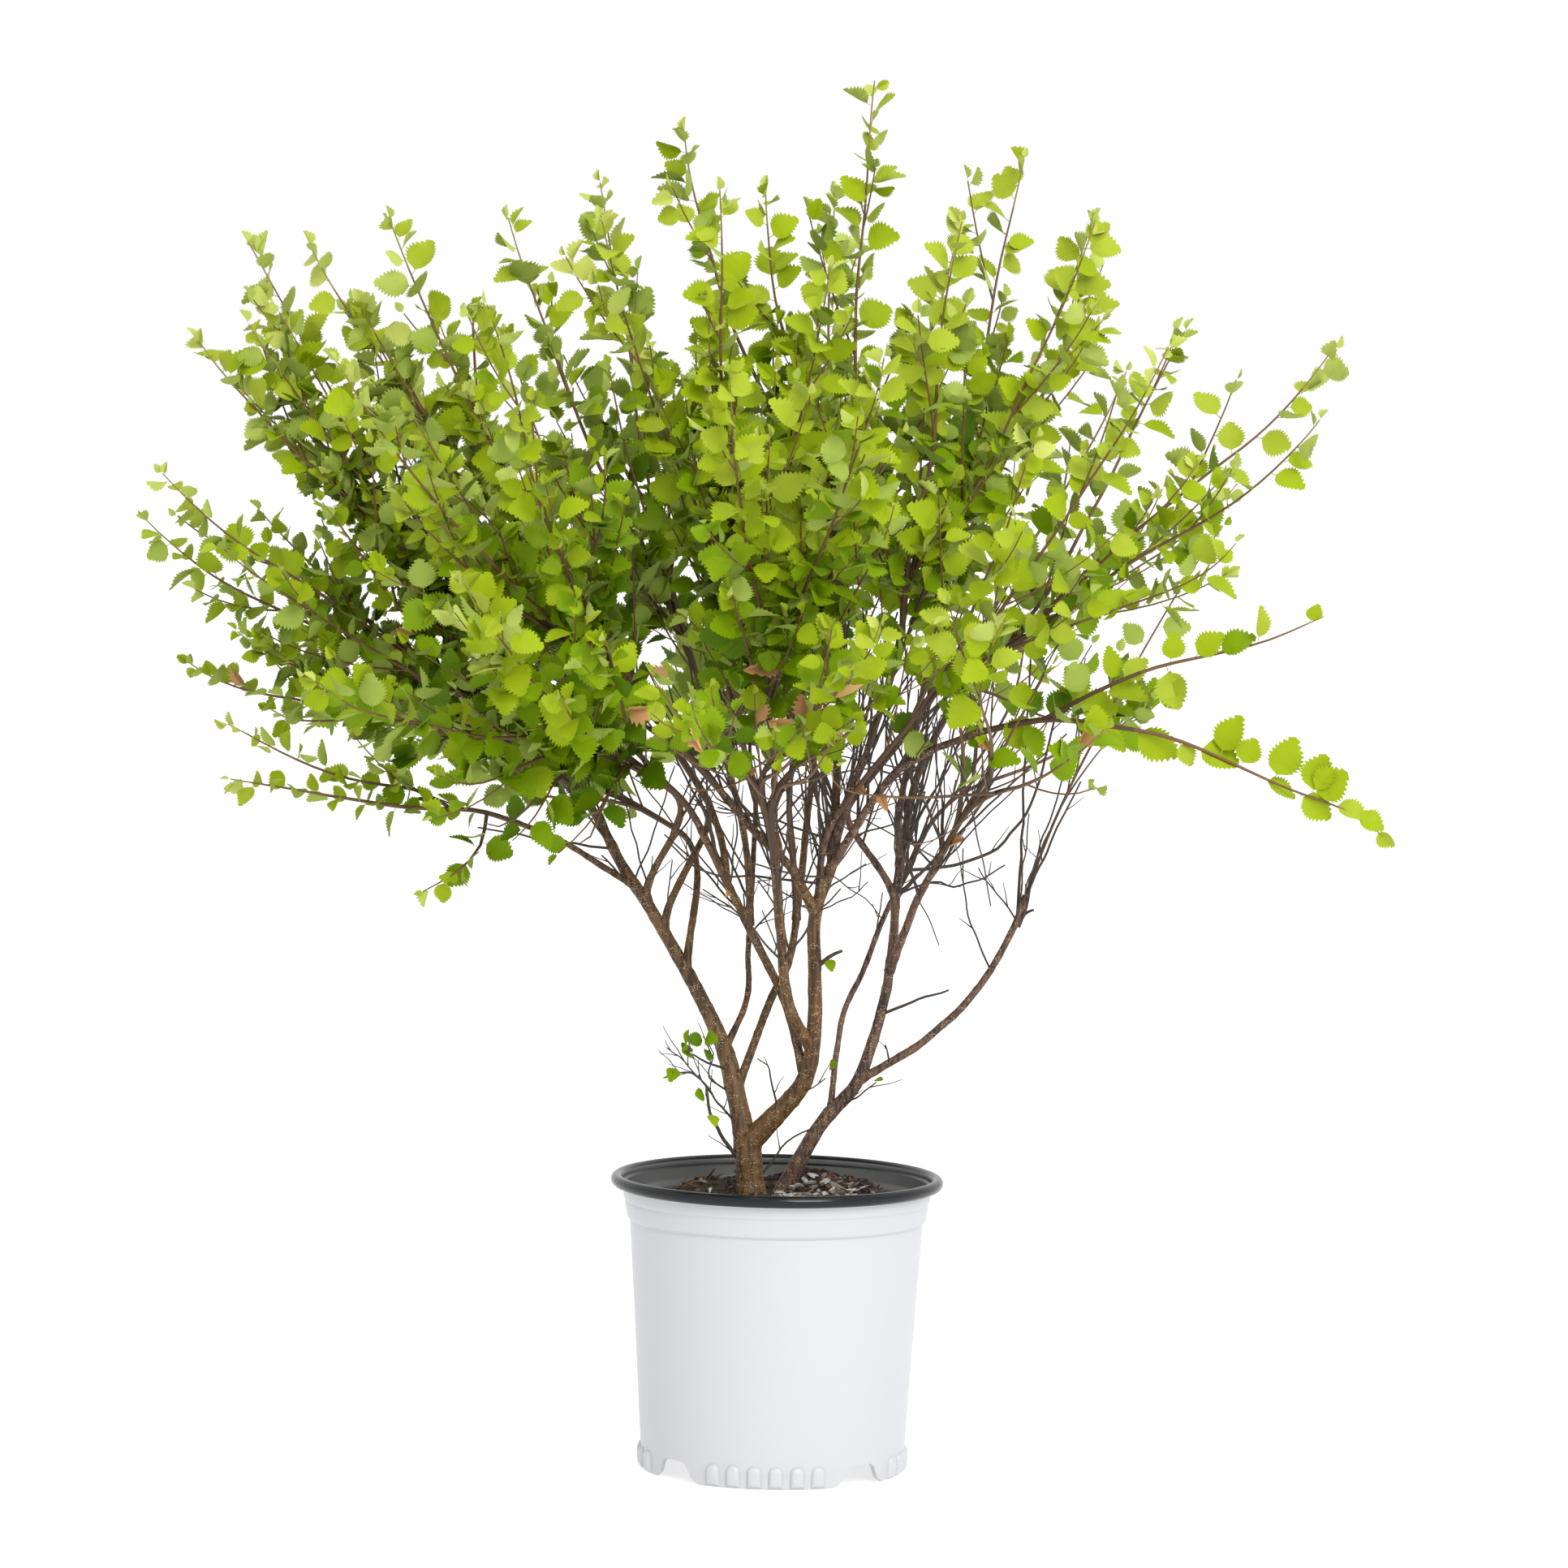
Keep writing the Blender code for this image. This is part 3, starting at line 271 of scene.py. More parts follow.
# A mass: the limb that carries it, its leading shoots, each a far tip after the points it passes, and
# single shoots that hang at the crown's lower edge or close a gap. Then its number of filling shoots and
# how far out they reach, the scale of its leaves, of the distance between them and between its twigs, the
# bare share of a shoot, how thin and how fresh its shoots start, and its skirt: within a radius of the
# middle no leaf is below it, and few are until it has faded.
Mass = namedtuple(
    "Mass", "carrier shoots added fill reach leaf spacing apart bare thinning fresher skirt fade radius",
    defaults=((), 4, (0.6, 0.86), 1.0, 1.0, 1.0, 0.18, 1.0, 0.0, 0.49, 0.15, 0.24),
)
MASSES = {
    "foliage_top": Mass(
        "stem_left", [[(0.055, 0.0, 0.982)], [(-0.078, 0.01, 0.944)], [(-0.02, -0.035, 0.904)]], fill=2,
    ),
    "foliage_left_low": Mass(
        "bough_left", [[(-0.452, -0.02, 0.667)], [(-0.424, 0.03, 0.563)]],
        [(-0.29, 0.01, 0.5), (-0.436, -0.06, 0.7), (-0.385, -0.04, 0.59), (-0.375, 0.03, 0.672),
         (-0.325, -0.06, 0.682)],
        fill=5, reach=(0.66, 0.9), leaf=0.92, apart=1.1, skirt=0.43,
    ),
    "foliage_left_droop": Mass(
        "bough_low_left",
        [[(-0.218, -0.06, 0.469), (-0.269, -0.09, 0.473), (-0.303, -0.105, 0.477), (-0.339, -0.12, 0.484),
          (-0.378, -0.13, 0.491)],
         [(-0.212, -0.076, 0.447), (-0.228, -0.094, 0.43), (-0.247, -0.104, 0.414)],
         [(-0.256, -0.07, 0.482), (-0.299, -0.09, 0.49), (-0.347, -0.105, 0.509), (-0.381, -0.12, 0.528)]],
        fill=0, leaf=0.8, spacing=0.95, apart=1.5, fresher=0.22, skirt=0.0,
    ),
    "foliage_left_middle": Mass(
        "bough_left_middle", [[(-0.415, -0.03, 0.793)], [(-0.387, 0.05, 0.862)]], [(-0.355, 0.01, 0.728)],
        reach=(0.74, 0.97),
    ),
    "foliage_left_rear": Mass("bough_left_rear", [[(-0.31, 0.26, 0.76)], [(-0.215, 0.31, 0.8)]]),
    "foliage_left_low_rear": Mass(
        "bough_left_low_rear", [[(-0.345, 0.285, 0.54)], [(-0.285, 0.34, 0.65)]],
        [(-0.215, 0.15, 0.48), (-0.16, 0.12, 0.462)], skirt=0.42,
    ),
    "foliage_left_high": Mass(
        "bough_left_high", [[(-0.278, -0.09, 0.877)], [(-0.335, -0.06, 0.859)]],
        fill=3, reach=(0.74, 0.96), spacing=1.1,
    ),
    "foliage_left_high_rear": Mass(
        "bough_left_high_rear", [[(-0.206, 0.12, 0.884)], [(-0.141, 0.15, 0.911)]],
    ),
    "foliage_rear_low": Mass(
        "bough_behind_left", [[(-0.09, 0.44, 0.56)], [(0.02, 0.42, 0.64)]], skirt=0.46, radius=0.42,
    ),
    "foliage_rear_middle": Mass("bough_behind_middle", [[(0.05, 0.37, 0.78)], [(-0.06, 0.36, 0.8)]]),
    "foliage_rear_high": Mass("bough_rear_high", [[(0.03, 0.21, 0.905)], [(0.12, 0.18, 0.88)]]),
    "foliage_right_low_rear": Mass(
        "bough_behind_right", [[(0.29, 0.31, 0.54)], [(0.21, 0.35, 0.65)]], [(0.15, 0.15, 0.6)],
        fill=1, skirt=0.5, radius=0.33,
    ),
    "foliage_right_rear": Mass(
        "bough_right_rear", [[(0.25, 0.27, 0.78)], [(0.33, 0.2, 0.7)]], fill=1, spacing=1.55, apart=1.8,
    ),
    "foliage_right_low": Mass(
        "bough_right_low", [[(0.311, 0.06, 0.673)], [(0.275, 0.13, 0.56)]],
        fill=1, spacing=1.7, apart=2.2, bare=0.42, thinning=0.5, skirt=0.5,
    ),
    "foliage_right_middle": Mass(
        "stem_right", [[(0.3825, 0.02, 0.8)], [(0.368, -0.06, 0.751)], [(0.282, 0.09, 0.811)]],
        fill=1, spacing=1.45, apart=1.5,
    ),
    "foliage_right_high": Mass(
        "bough_right_high", [[(0.162, 0.03, 0.93)], [(0.221, 0.06, 0.857)]],
        [(0.15, 0.0, 0.8), (0.175, 0.06, 0.765)], fill=2, spacing=1.1, apart=1.1,
    ),
    "foliage_far_right": Mass(
        "bough_far_right",
        [[(0.184, -0.151, 0.544), (0.238, -0.18, 0.536), (0.291, -0.202, 0.522), (0.345, -0.219, 0.504),
          (0.375, -0.229, 0.492), (0.4, -0.235, 0.474)],
         [(0.205, -0.165, 0.56), (0.242, -0.182, 0.575), (0.285, -0.2, 0.589), (0.322, -0.212, 0.602),
          (0.358, -0.222, 0.619)]],
        fill=0, leaf=1.15, apart=9.0, bare=0.12, skirt=0.0,
    ),
    "foliage_right_front": Mass(
        "bough_right_front", [[(0.21, -0.33, 0.55)], [(0.14, -0.365, 0.62)]],
        [(0.125, -0.17, 0.59), (0.18, -0.2, 0.585)],
        fill=1, leaf=1.06, spacing=1.15, apart=1.6, bare=0.3, skirt=0.495, radius=0.33,
    ),
    "foliage_front": Mass(
        "bough_front", [[(-0.06, -0.43, 0.57)], [(0.06, -0.41, 0.62)]],
        [(0.015, -0.3, 0.55), (0.085, -0.25, 0.6)], leaf=0.92, skirt=0.502, fade=0.1, radius=0.42,
    ),
    "foliage_front_left": Mass(
        "bough_front_left", [[(-0.31, -0.29, 0.57)], [(-0.21, -0.37, 0.64)]],
        [(-0.205, -0.16, 0.468), (-0.14, -0.15, 0.455), (-0.12, -0.28, 0.6)], skirt=0.41, radius=0.29,
    ),
    "foliage_middle_left": Mass(
        "bough_middle_left", [[(-0.3, -0.27, 0.78)], [(-0.2, -0.31, 0.82)]], [(-0.125, -0.21, 0.72)],
        skirt=0.47,
    ),
    "foliage_front_middle": Mass(
        "bough_front_middle", [[(-0.04, -0.37, 0.78)], [(0.06, -0.36, 0.79)]],
        [(0.02, -0.27, 0.7), (0.06, -0.2, 0.76)], skirt=0.502, fade=0.1, radius=0.36,
    ),
    "foliage_front_high": Mass(
        "bough_front_high", [[(-0.05, -0.2, 0.9)], [(-0.13, -0.17, 0.88)]], [(0.025, -0.14, 0.85)],
    ),
    "foliage_front_right": Mass(
        "bough_front_right", [[(0.25, -0.26, 0.8)], [(0.16, -0.33, 0.74)], [(0.3, -0.23, 0.67)]],
        [(0.11, -0.19, 0.64)], fill=1, spacing=1.35, apart=1.6, skirt=0.5,
    ),
    "foliage_front_right_high": Mass(
        "bough_front_right_high", [[(0.114, -0.16, 0.882)], [(0.205, -0.13, 0.882)]], fill=3,
    ),
}

# Shoots, which lead a mass or fill it, and their twigs
FILL_SPREAD = 0.034
FILL_SIDEWAYS = 0.09
FILL_SPLIT = (0.02, 0.3)
FILL_TOWARDS = (-0.15, 1.15)
LEADER_SPLIT = (0.0, 0.16, 0.3)
LEADER_THINNING = 0.8
LEADER_RISE = 0.35
LEADER_BEND = 0.3
LEADER_STEP = 0.012
LEADER_MIDDLE = 0.0028
LEADER_STRAY = (0.007, 10.0)
TIP_DIAMETER = 0.0009
TIP_ROOM = 0.004
TIP_NEAR = 0.0015
TIP_REACH = 0.17
TIP_CROWDING = 0.74
TWIG_ANGLE = math.radians(25)
TWIG_FIRST = {1: 0.12, 2: 0.25}
TWIG_LAST = 0.86
TWIG_RISE = 0.2
TWIG_BEND = 0.35
TWIG_BARE = 0.16
TWIG_RADIUS = 0.0008
TWIG_SIDES = (6, 4, 3)
OLD_SHARE = 0.38
GREEN_SHARE = 0.9
SECOND_LENGTH = 0.45
FRESH_SPREAD = 0.12
GOLDEN_ANGLE = math.radians(137.5)
SUNK = 0.003
LIMB_CLEARANCE = 0.001
BOX_MARGIN = 0.002
TWIG_MARGIN = 0.012

# Leaves: how far from a tip they get smaller, the youngest ones' size, and where a few are withered
SHRINK_REACH = {0: 0.034, 1: 0.028, 2: 0.028}
SMALLEST = 0.44
YOUNG_BELOW = 0.5
WITHERED_SHARE = 0.028
WITHERED_HEIGHT = 0.6
WITHERED_TONE = 0.35
DENSEST = 0.94
LEAF_WIDEST = 0.8
LEAF_FULLNESS = 0.8
LEAF_THICKNESS = 0.009
STALK_RADIUS = 0.014
STALK_DROP = 0.004
STALK_ENDS = (-0.2, 0.05)
GROWN_KINDS = 8
# Least and greatest breadth, fold and curl of a grown leaf
GROWN_FORM = ((0.76, 0.96), (0.02, 0.34), (-0.08, 0.22))

# Finishes of the leaves and their roughness. Tones run from shaded to fresh, and the rest follow them.
TONES = 5
UNDER, UNDER_FRESH, STALK, WITHERED = range(TONES, TONES + 4)
LEAF_ROUGHNESS = {
    "deep": 0.48, "shaded": 0.48, "middle": 0.5, "fresh": 0.52, "lime": 0.54, "under": 0.7,
    "under_fresh": 0.7, "stalk": 0.6, "withered": 0.8,
}
TWIG_ROUGHNESS = {"old": 0.65, "young": 0.6, "green": 0.55}

# Bare twigs and sprigs under the crown: points, diameter and the number of twiglets
BARE_TWIGS = [
    ([(0.082, 0.04, 0.405), (0.1074, 0.04, 0.4143), (0.1221, 0.03, 0.4124), (0.1396, 0.02, 0.4186),
      (0.1569, 0.012, 0.4295)], 0.0018, 3),
    ([(0.083, 0.041, 0.4216), (0.1224, 0.05, 0.4257), (0.1521, 0.052, 0.4381), (0.1697, 0.052, 0.4585),
      (0.1773, 0.05, 0.4769), (0.187, 0.048, 0.51), (0.195, 0.046, 0.548)], 0.0026, 4),
    ([(0.1481, 0.036, 0.3543), (0.1386, 0.03, 0.3757), (0.1312, 0.024, 0.3961), (0.1277, 0.018, 0.4165),
      (0.1272, 0.015, 0.4407)], 0.0015, 2),
    ([(0.1685, 0.038, 0.3855), (0.1545, 0.046, 0.4046), (0.1445, 0.052, 0.4159), (0.1395, 0.055, 0.4236)],
     0.0014, 3),
    ([(0.1681, 0.038, 0.3835), (0.1712, 0.036, 0.3937), (0.1783, 0.03, 0.3964)], 0.0034, 0),
    ([(0.1695, 0.038, 0.3855), (0.1734, 0.03, 0.4043), (0.1774, 0.026, 0.4177)], 0.0022, 1),
    ([(0.072, 0.032, 0.32), (0.093, 0.026, 0.329), (0.119, 0.018, 0.3395)], 0.0026, 0),
    ([(0.0787, 0.03, 0.2847), (0.0774, 0.02, 0.2938), (0.0749, 0.014, 0.3004)], 0.0016, 1),
    ([(0.0235, -0.03, 0.358), (0.033, -0.034, 0.366), (0.0425, -0.038, 0.3715)], 0.0044, 0),
    ([(-0.024, -0.008, 0.215), (-0.0429, -0.022, 0.2431), (-0.0489, -0.03, 0.2598),
      (-0.0507, -0.034, 0.2741)], 0.0034, 2),
    ([(-0.03, -0.006, 0.246), (-0.0431, -0.024, 0.2612), (-0.0507, -0.034, 0.2731),
      (-0.0609, -0.04, 0.2844), (-0.0765, -0.044, 0.2836)], 0.002, 7),
    ([(-0.0507, -0.034, 0.2741), (-0.0629, -0.04, 0.2883), (-0.0787, -0.048, 0.3027)], 0.0014, 6),
    ([(-0.038, -0.004, 0.269), (-0.0493, -0.026, 0.2791), (-0.0466, -0.03, 0.2973),
      (-0.0536, -0.034, 0.3095)], 0.0015, 2),
    ([(-0.035, 0.0, 0.2823), (-0.0495, -0.024, 0.2897), (-0.0603, -0.03, 0.2961)], 0.0022, 1),
    ([(-0.001, -0.018, 0.26), (-0.0062, -0.03, 0.2803), (-0.0083, -0.034, 0.2896),
      (-0.0152, -0.036, 0.2946)], 0.0016, 2),
    ([(0.0155, -0.02, 0.27), (0.0252, -0.03, 0.2739), (0.0329, -0.034, 0.2814)], 0.0012, 1),
    ([(-0.012, -0.01, 0.208), (0.0025, -0.012, 0.2286), (0.016, -0.01, 0.2392), (0.0287, -0.008, 0.2451)],
     0.0018, 2),
    ([(0.044, 0.026, 0.2552), (0.0581, 0.01, 0.2648), (0.0687, 0.004, 0.2746)], 0.0016, 2),
    ([(0.024, -0.03, 0.418), (-0.0223, -0.05, 0.4237), (-0.0474, -0.066, 0.4256),
      (-0.0649, -0.076, 0.4349), (-0.0776, -0.084, 0.448)], 0.002, 3),
    ([(0.0235, -0.03, 0.43), (0.058, -0.04, 0.4085), (0.0708, -0.046, 0.3936)], 0.0011, 1),
    ([(0.0235, -0.03, 0.398), (0.0481, -0.044, 0.4107), (0.0596, -0.05, 0.4212)], 0.0012, 1),
    ([(0.085, 0.04, 0.4361), (0.0942, 0.02, 0.4118), (0.1042, 0.008, 0.3891), (0.1112, 0.0, 0.3731)],
     0.0012, 1),
]

# Dead twigs on the limbs: how many, and between which shares of the limb's length
DEAD_TWIGS = [
    ("stem_left", 11, 0.72, 1.0), ("stem_right", 5, 0.8, 1.0), ("bough_left", 6, 0.62, 0.97),
    ("bough_front_left", 5, 0.45, 0.95), ("bough_front", 5, 0.45, 0.95),
    ("bough_middle_left", 4, 0.3, 0.95), ("bough_behind_middle", 4, 0.45, 0.95),
    ("bough_behind_left", 4, 0.45, 0.95),
    ("bough_right_front", 7, 0.5, 1.0), ("bough_right_low", 3, 0.85, 1.0),
    ("bough_behind_right", 6, 0.6, 1.0), ("bough_far_right", 5, 0.2, 0.9),
    ("bough_right_high", 4, 0.3, 1.0), ("bough_right_rear", 4, 0.5, 1.0),
    ("bough_front_right", 3, 0.3, 0.9), ("bough_front_middle", 3, 0.3, 0.9),
]

# Long dead wands that rise into the crown, in the same way
WANDS = [
    ("stem_left", 9, 0.82, 1.0), ("stem_right", 4, 0.84, 1.0), ("bough_right_front", 8, 0.6, 1.0),
    ("bough_right_high", 3, 0.2, 0.9), ("bough_right_rear", 5, 0.6, 1.0),
    ("bough_behind_right", 6, 0.7, 1.0), ("bough_far_right", 5, 0.2, 0.8),
    ("bough_front_right", 5, 0.3, 0.9), ("bough_right_low", 2, 0.85, 1.0),
    ("bough_front", 3, 0.6, 1.0), ("bough_middle_left", 3, 0.3, 0.9), ("bough_front_left", 3, 0.6, 1.0),
    ("bough_behind_middle", 4, 0.6, 1.0), ("bough_left", 3, 0.85, 1.0), ("bough_left_middle", 3, 0.2, 0.8),
]
# For each kind how far its heading strays, how it rises, its shortest and longest reach and its highest end
DEAD_GROWTH = (
    (DEAD_TWIGS, 1.15, 0.3, (0.03, 0.125), 0.6),
    (WANDS, 0.7, 0.55, (0.09, 0.23), 0.7),
)
DEAD_DIAMETERS = (0.0011, 0.0022)
DEAD_STRAY = (0.002, 60.0)
TWIGLET_REACH = (0.008, 0.028)
TWIGLET_DIAMETERS = (0.001, 0.0005)
TWIGLET_STRAY = (0.0012, 90.0)

# Small leaves on the low sprigs, and withered leaves that hang under the crown: their places
SPRIG_LEAVES = [
    (-0.0673, 0.3134), (-0.0555, 0.3057), (-0.0458, 0.3118), (-0.0728, 0.2897), (-0.0548, 0.2663),
    (-0.0483, 0.2537), (0.0357, 0.2886), (0.0125, 0.3305), (0.0334, 0.3624), (0.07, 0.2823),
    (-0.0766, 0.2827), (-0.0623, 0.3036), (-0.05, 0.3), (-0.059, 0.296),
]
WITHERED_LEAVES = [
    (0.0506, 0.4856), (0.0691, 0.483), (0.004, 0.4799), (0.1338, 0.4469), (-0.0307, 0.4107),
    (-0.0071, 0.3377), (0.1531, 0.5148), (-0.0128, 0.5001), (-0.0014, 0.3427),
]
SPRIG_LEAF = 0.0125
SMALL_SPRIG_LEAF = 0.008
WITHERED_LEAF = 0.0115

# Big leaves spread out along the far right shoots, beyond a distance from the middle: place and length
PLACED_FROM = 0.205
PLACED_LEAVES = [
    (0.22, 0.586, 0.022), (0.231, 0.56, 0.028), (0.251, 0.529, 0.031), (0.263, 0.56, 0.026),
    (0.26, 0.596, 0.018), (0.285, 0.599, 0.022), (0.302, 0.6, 0.024), (0.318, 0.616, 0.021),
    (0.352, 0.622, 0.013), (0.3, 0.543, 0.026), (0.293, 0.521, 0.027), (0.313, 0.53, 0.018),
    (0.339, 0.532, 0.028), (0.361, 0.524, 0.025), (0.366, 0.508, 0.025), (0.333, 0.502, 0.022),
    (0.358, 0.49, 0.023), (0.381, 0.49, 0.022), (0.394, 0.482, 0.018), (0.27, 0.524, 0.016),
    (0.236, 0.58, 0.02), (0.212, 0.553, 0.026), (0.222, 0.53, 0.024), (0.401, 0.472, 0.014),
]

# Stage: each light's name, place, size and share of the key light's power, and the points aimed at
WHITE = (1.0, 1.0, 1.0)
LIGHTS = (("key", (1.4, -3.3, 2.3), 1.8, 1.0), ("top", (0.5, -0.8, 3.4), 2.2, 0.35))
LIGHT_AIM = Vector((0.0, 0.0, 0.5))
CAMERA_AIM = Vector((0.0, 0.0, 0.485))


# Settings that a user would change
def metres(name, description, default):
    return FloatProperty(name=name, description=description, default=default, subtype="DISTANCE",
                         unit="LENGTH", precision=4)


def colour(name, description, *default):
    """A colour setting whose default is given in display values from 0 to 255."""
    linear = [((value / 255 + 0.055) / 1.055) ** 2.4 for value in default]
    return FloatVectorProperty(name=name, description=description, default=linear, subtype="COLOR",
                               size=3, min=0.0, max=1.0)


class PotSettings(bpy.types.PropertyGroup):
    body: colour("Body", "Outside of the pot", 186, 187, 191)
    rim: colour("Rim", "Rolled rim of the pot", 14, 17, 21)
    inside: colour("Inside", "Inside of the pot", 90, 91, 90)
    # Painted shade: a darker colour for the lower inside of the pot, standing for the shade deep in the pot
    painted_inside_shade: colour("Painted inside shade", "Lower inside of the pot, stained by the mix", 46, 44, 42)


class SoilSettings(bpy.types.PropertyGroup):
    peat: colour("Peat", "Fine part of the bark mix", 48, 33, 22)
    shred: colour("Bark shreds", "Shredded bark", 92, 62, 40)
    dark_shred: colour("Dark shreds", "Wet shredded bark", 36, 26, 19)
    flake: colour("Flakes", "Weathered flakes of bark", 120, 112, 101)
    pale_flake: colour("Pale flakes", "Bleached flakes of bark", 172, 169, 163)
    bit_scale: FloatProperty(name="Bit scale", description="Size of the loose bits on the mix", default=1.0)


class BarkSettings(bpy.types.PropertyGroup):
    brown: colour("Brown bark", "Bark of the left stem and its boughs", 102, 73, 38)
    brown_shade: colour("Brown shade", "Dark streaks of that bark", 50, 34, 20)
    dark: colour("Dark bark", "Bark of the right stem and its boughs", 104, 76, 58)
    dark_shade: colour("Dark shade", "Dark streaks of that bark", 44, 34, 29)
    pore: colour("Pores", "Pale dashes in the bark", 212, 184, 144)
    relief: metres("Relief", "Height of the bark's relief", 0.0007)
    sides: IntProperty(name="Sides", description="Facets round a limb", default=18, min=8, max=32)


class FoliageSettings(bpy.types.PropertyGroup):
    leaf_length: metres("Leaf length", "Length of a grown leaf", 0.0214)
    leaf_spacing: metres("Leaf spacing", "Distance between leaves along a shoot", 0.0098)
    twig_length: metres("Twig length", "Length of a side twig", 0.11)
    twig_spacing: metres("Twig spacing", "Distance between side twigs", 0.056)
    # Deep and shaded greens go to leaves inside and low in the crown: partly the leaves' own darker green,
    # partly painted shade
    deep: colour("Deep green", "Leaves inside the crown", 78, 108, 0)
    shaded: colour("Shaded green", "Leaves low in the crown", 110, 138, 2)
    middle: colour("Middle green", "Most leaves", 137, 156, 16)
    fresh: colour("Fresh green", "Outer leaves", 145, 160, 39)
    lime: colour("Lime", "Young leaves at the tips", 170, 179, 86)
    under: colour("Underside", "Underside of grown leaves", 142, 160, 68)
    under_fresh: colour("Fresh underside", "Underside of young leaves", 162, 176, 84)
    stalk: colour("Stalk", "Leaf stalks", 142, 150, 62)
    withered: colour("Withered", "Dry leaves", 188, 146, 98)
    old_twig: colour("Old twigs", "Lower part of the shoots", 78, 56, 34)
    young_twig: colour("Young twigs", "Middle part of the shoots", 102, 72, 38)
    green_twig: colour("Green twigs", "Tips of the shoots", 126, 110, 46)
    bare_twig: colour("Bare twigs", "Dead twigs under the crown", 64, 52, 43)


class StageSettings(bpy.types.PropertyGroup):
    floor: colour("Floor", "Pale floor", 190, 190, 190)
    floor_glow: FloatProperty(name="Floor glow", description="Light of the floor itself", default=0.62)
    distance: metres("Camera distance", "How far in front of the plant the camera stands", 4.5)
    height: metres("Camera height", "Height of the camera", 0.805)
    lens: FloatProperty(name="Lens", description="Focal length in millimetres", default=147.3)
    roll: FloatProperty(name="Roll", description="Roll of the camera", default=math.radians(1.0),
                        subtype="ANGLE")
    sky: FloatProperty(name="Sky", description="Strength of the light from all round", default=1.0)
    key: FloatProperty(name="Key light", description="Power of the light above in front", default=102.0)


# Shader maths
class Value:
    """A shader socket whose arithmetic adds Math nodes to its finish."""

    def __init__(self, finish, socket):
        self.finish = finish
        self.socket = socket

    def math(self, operation, first, second=0.0):
        return self.finish.node("ShaderNodeMath", {"operation": operation}, {0: first, 1: second})

    def __add__(self, other):
        return self.math("ADD", self, other)

    __radd__ = __add__

    def __mul__(self, other):
        return self.math("MULTIPLY", self, other)

    __rmul__ = __mul__

    def __sub__(self, other):
        return self.math("SUBTRACT", self, other)

    def __rsub__(self, other):
        return self.math("SUBTRACT", other, self)

    def __lt__(self, other):
        return self.math("LESS_THAN", self, other)

    def __gt__(self, other):
        return self.math("GREATER_THAN", self, other)


class Finish:
    """A material made of nodes round a Principled shader. Constants are set on the shader's own sockets."""

    def __init__(self, name, colour, roughness, **constants):
        self.material = bpy.data.materials.new(name)
        self.material.use_nodes = True
        self.tree = self.material.node_tree
        self.shader = self.tree.nodes["Principled BSDF"]
        self.feed(self.shader.inputs["Base Color"], colour)
        self.feed(self.shader.inputs["Roughness"], roughness)
        for socket, value in constants.items():
            self.feed(self.shader.inputs[socket.replace("_", " ")], value)

    def feed(self, socket, value):
        if isinstance(value, Value):
            self.tree.links.new(value.socket, socket)
        elif socket.type == "RGBA":
            socket.default_value = (*value, 1.0)
        else:
            socket.default_value = value

    def node(self, kind, settings, inputs, output=0):
        made = self.tree.nodes.new(kind)
        for key, value in settings.items():
            if key == "stops":
                for stop, (place, shade) in zip(made.color_ramp.elements, value):
                    stop.position = place
                    stop.color = (shade, shade, shade, 1.0)
            else:
                setattr(made, key, value)
        for key, value in inputs.items():
            self.feed(made.inputs[key], value)
        return Value(self, made.outputs[output])

    def place(self, scale=(1.0, 1.0, 1.0)):
        """Object coordinates, stretched by a scale for each axis."""
        at = self.node("ShaderNodeTexCoord", {}, {}, "Object")
        return self.node("ShaderNodeMapping", {}, {"Vector": at, "Scale": scale})

    def noise(self, place, scale=1.0, detail=4.0):
        return self.node("ShaderNodeTexNoise", {}, {"Vector": place, "Scale": scale, "Detail": detail})

    def ramp(self, value, low, high):
        """A value's range from low to high stretched to 0 to 1."""
        return self.node("ShaderNodeValToRGB", {"stops": [(low, 0.0), (high, 1.0)]}, {"Fac": value})

    def mix(self, share, first, second):
        mixing = {"data_type": "RGBA"}
        return self.node("ShaderNodeMix", mixing, {0: share, 6: first, 7: second}, 2)

    def colour(self, value):
        self.feed(self.shader.inputs["Base Color"], value)

    def roughness(self, value):
        self.feed(self.shader.inputs["Roughness"], value)

    def bump(self, height, distance, strength=1.0):
        inputs = {"Height": height, "Distance": distance, "Strength": strength}
        self.feed(self.shader.inputs["Normal"], self.node("ShaderNodeBump", {}, inputs))

    def grain(self, place):
        """The fine grain of moulded plastic."""
        self.bump(self.noise(place, 900.0, 2.0), 0.0001, 0.25)


def moulded_finish(name, colour, roughness, **constants):
    """Moulded plastic: a faint grain, and a gloss that varies a little from place to place."""
    made = Finish(name, colour, roughness, **constants)
    place = made.place()
    smear = made.noise(place, 26.0, 3.0)
    made.roughness(smear * 0.16 + (roughness - 0.08))
    made.grain(place)
    return made.material


def inside_finish(colour, painted_inside_shade):
    """The pot's inside, darkened by painted shade below an uneven line near the mix, where the pot's depth
    shades it.
    """
    made = Finish("pot_inside", colour, 0.4)
    place = made.place()
    height = made.node("ShaderNodeSeparateXYZ", {}, {"Vector": place}, "Z")
    # Painted shade: the inside turns darker below an uneven line near the mix
    level = height * 100.0 - (PAINTED_SHADE_LEVEL * 100.0 - 0.5) + (made.noise(place, 40.0) - 0.5) * 0.7
    made.colour(made.mix(made.ramp(level, 0.2, 0.8), painted_inside_shade, colour))
    made.grain(place)
    return made.material


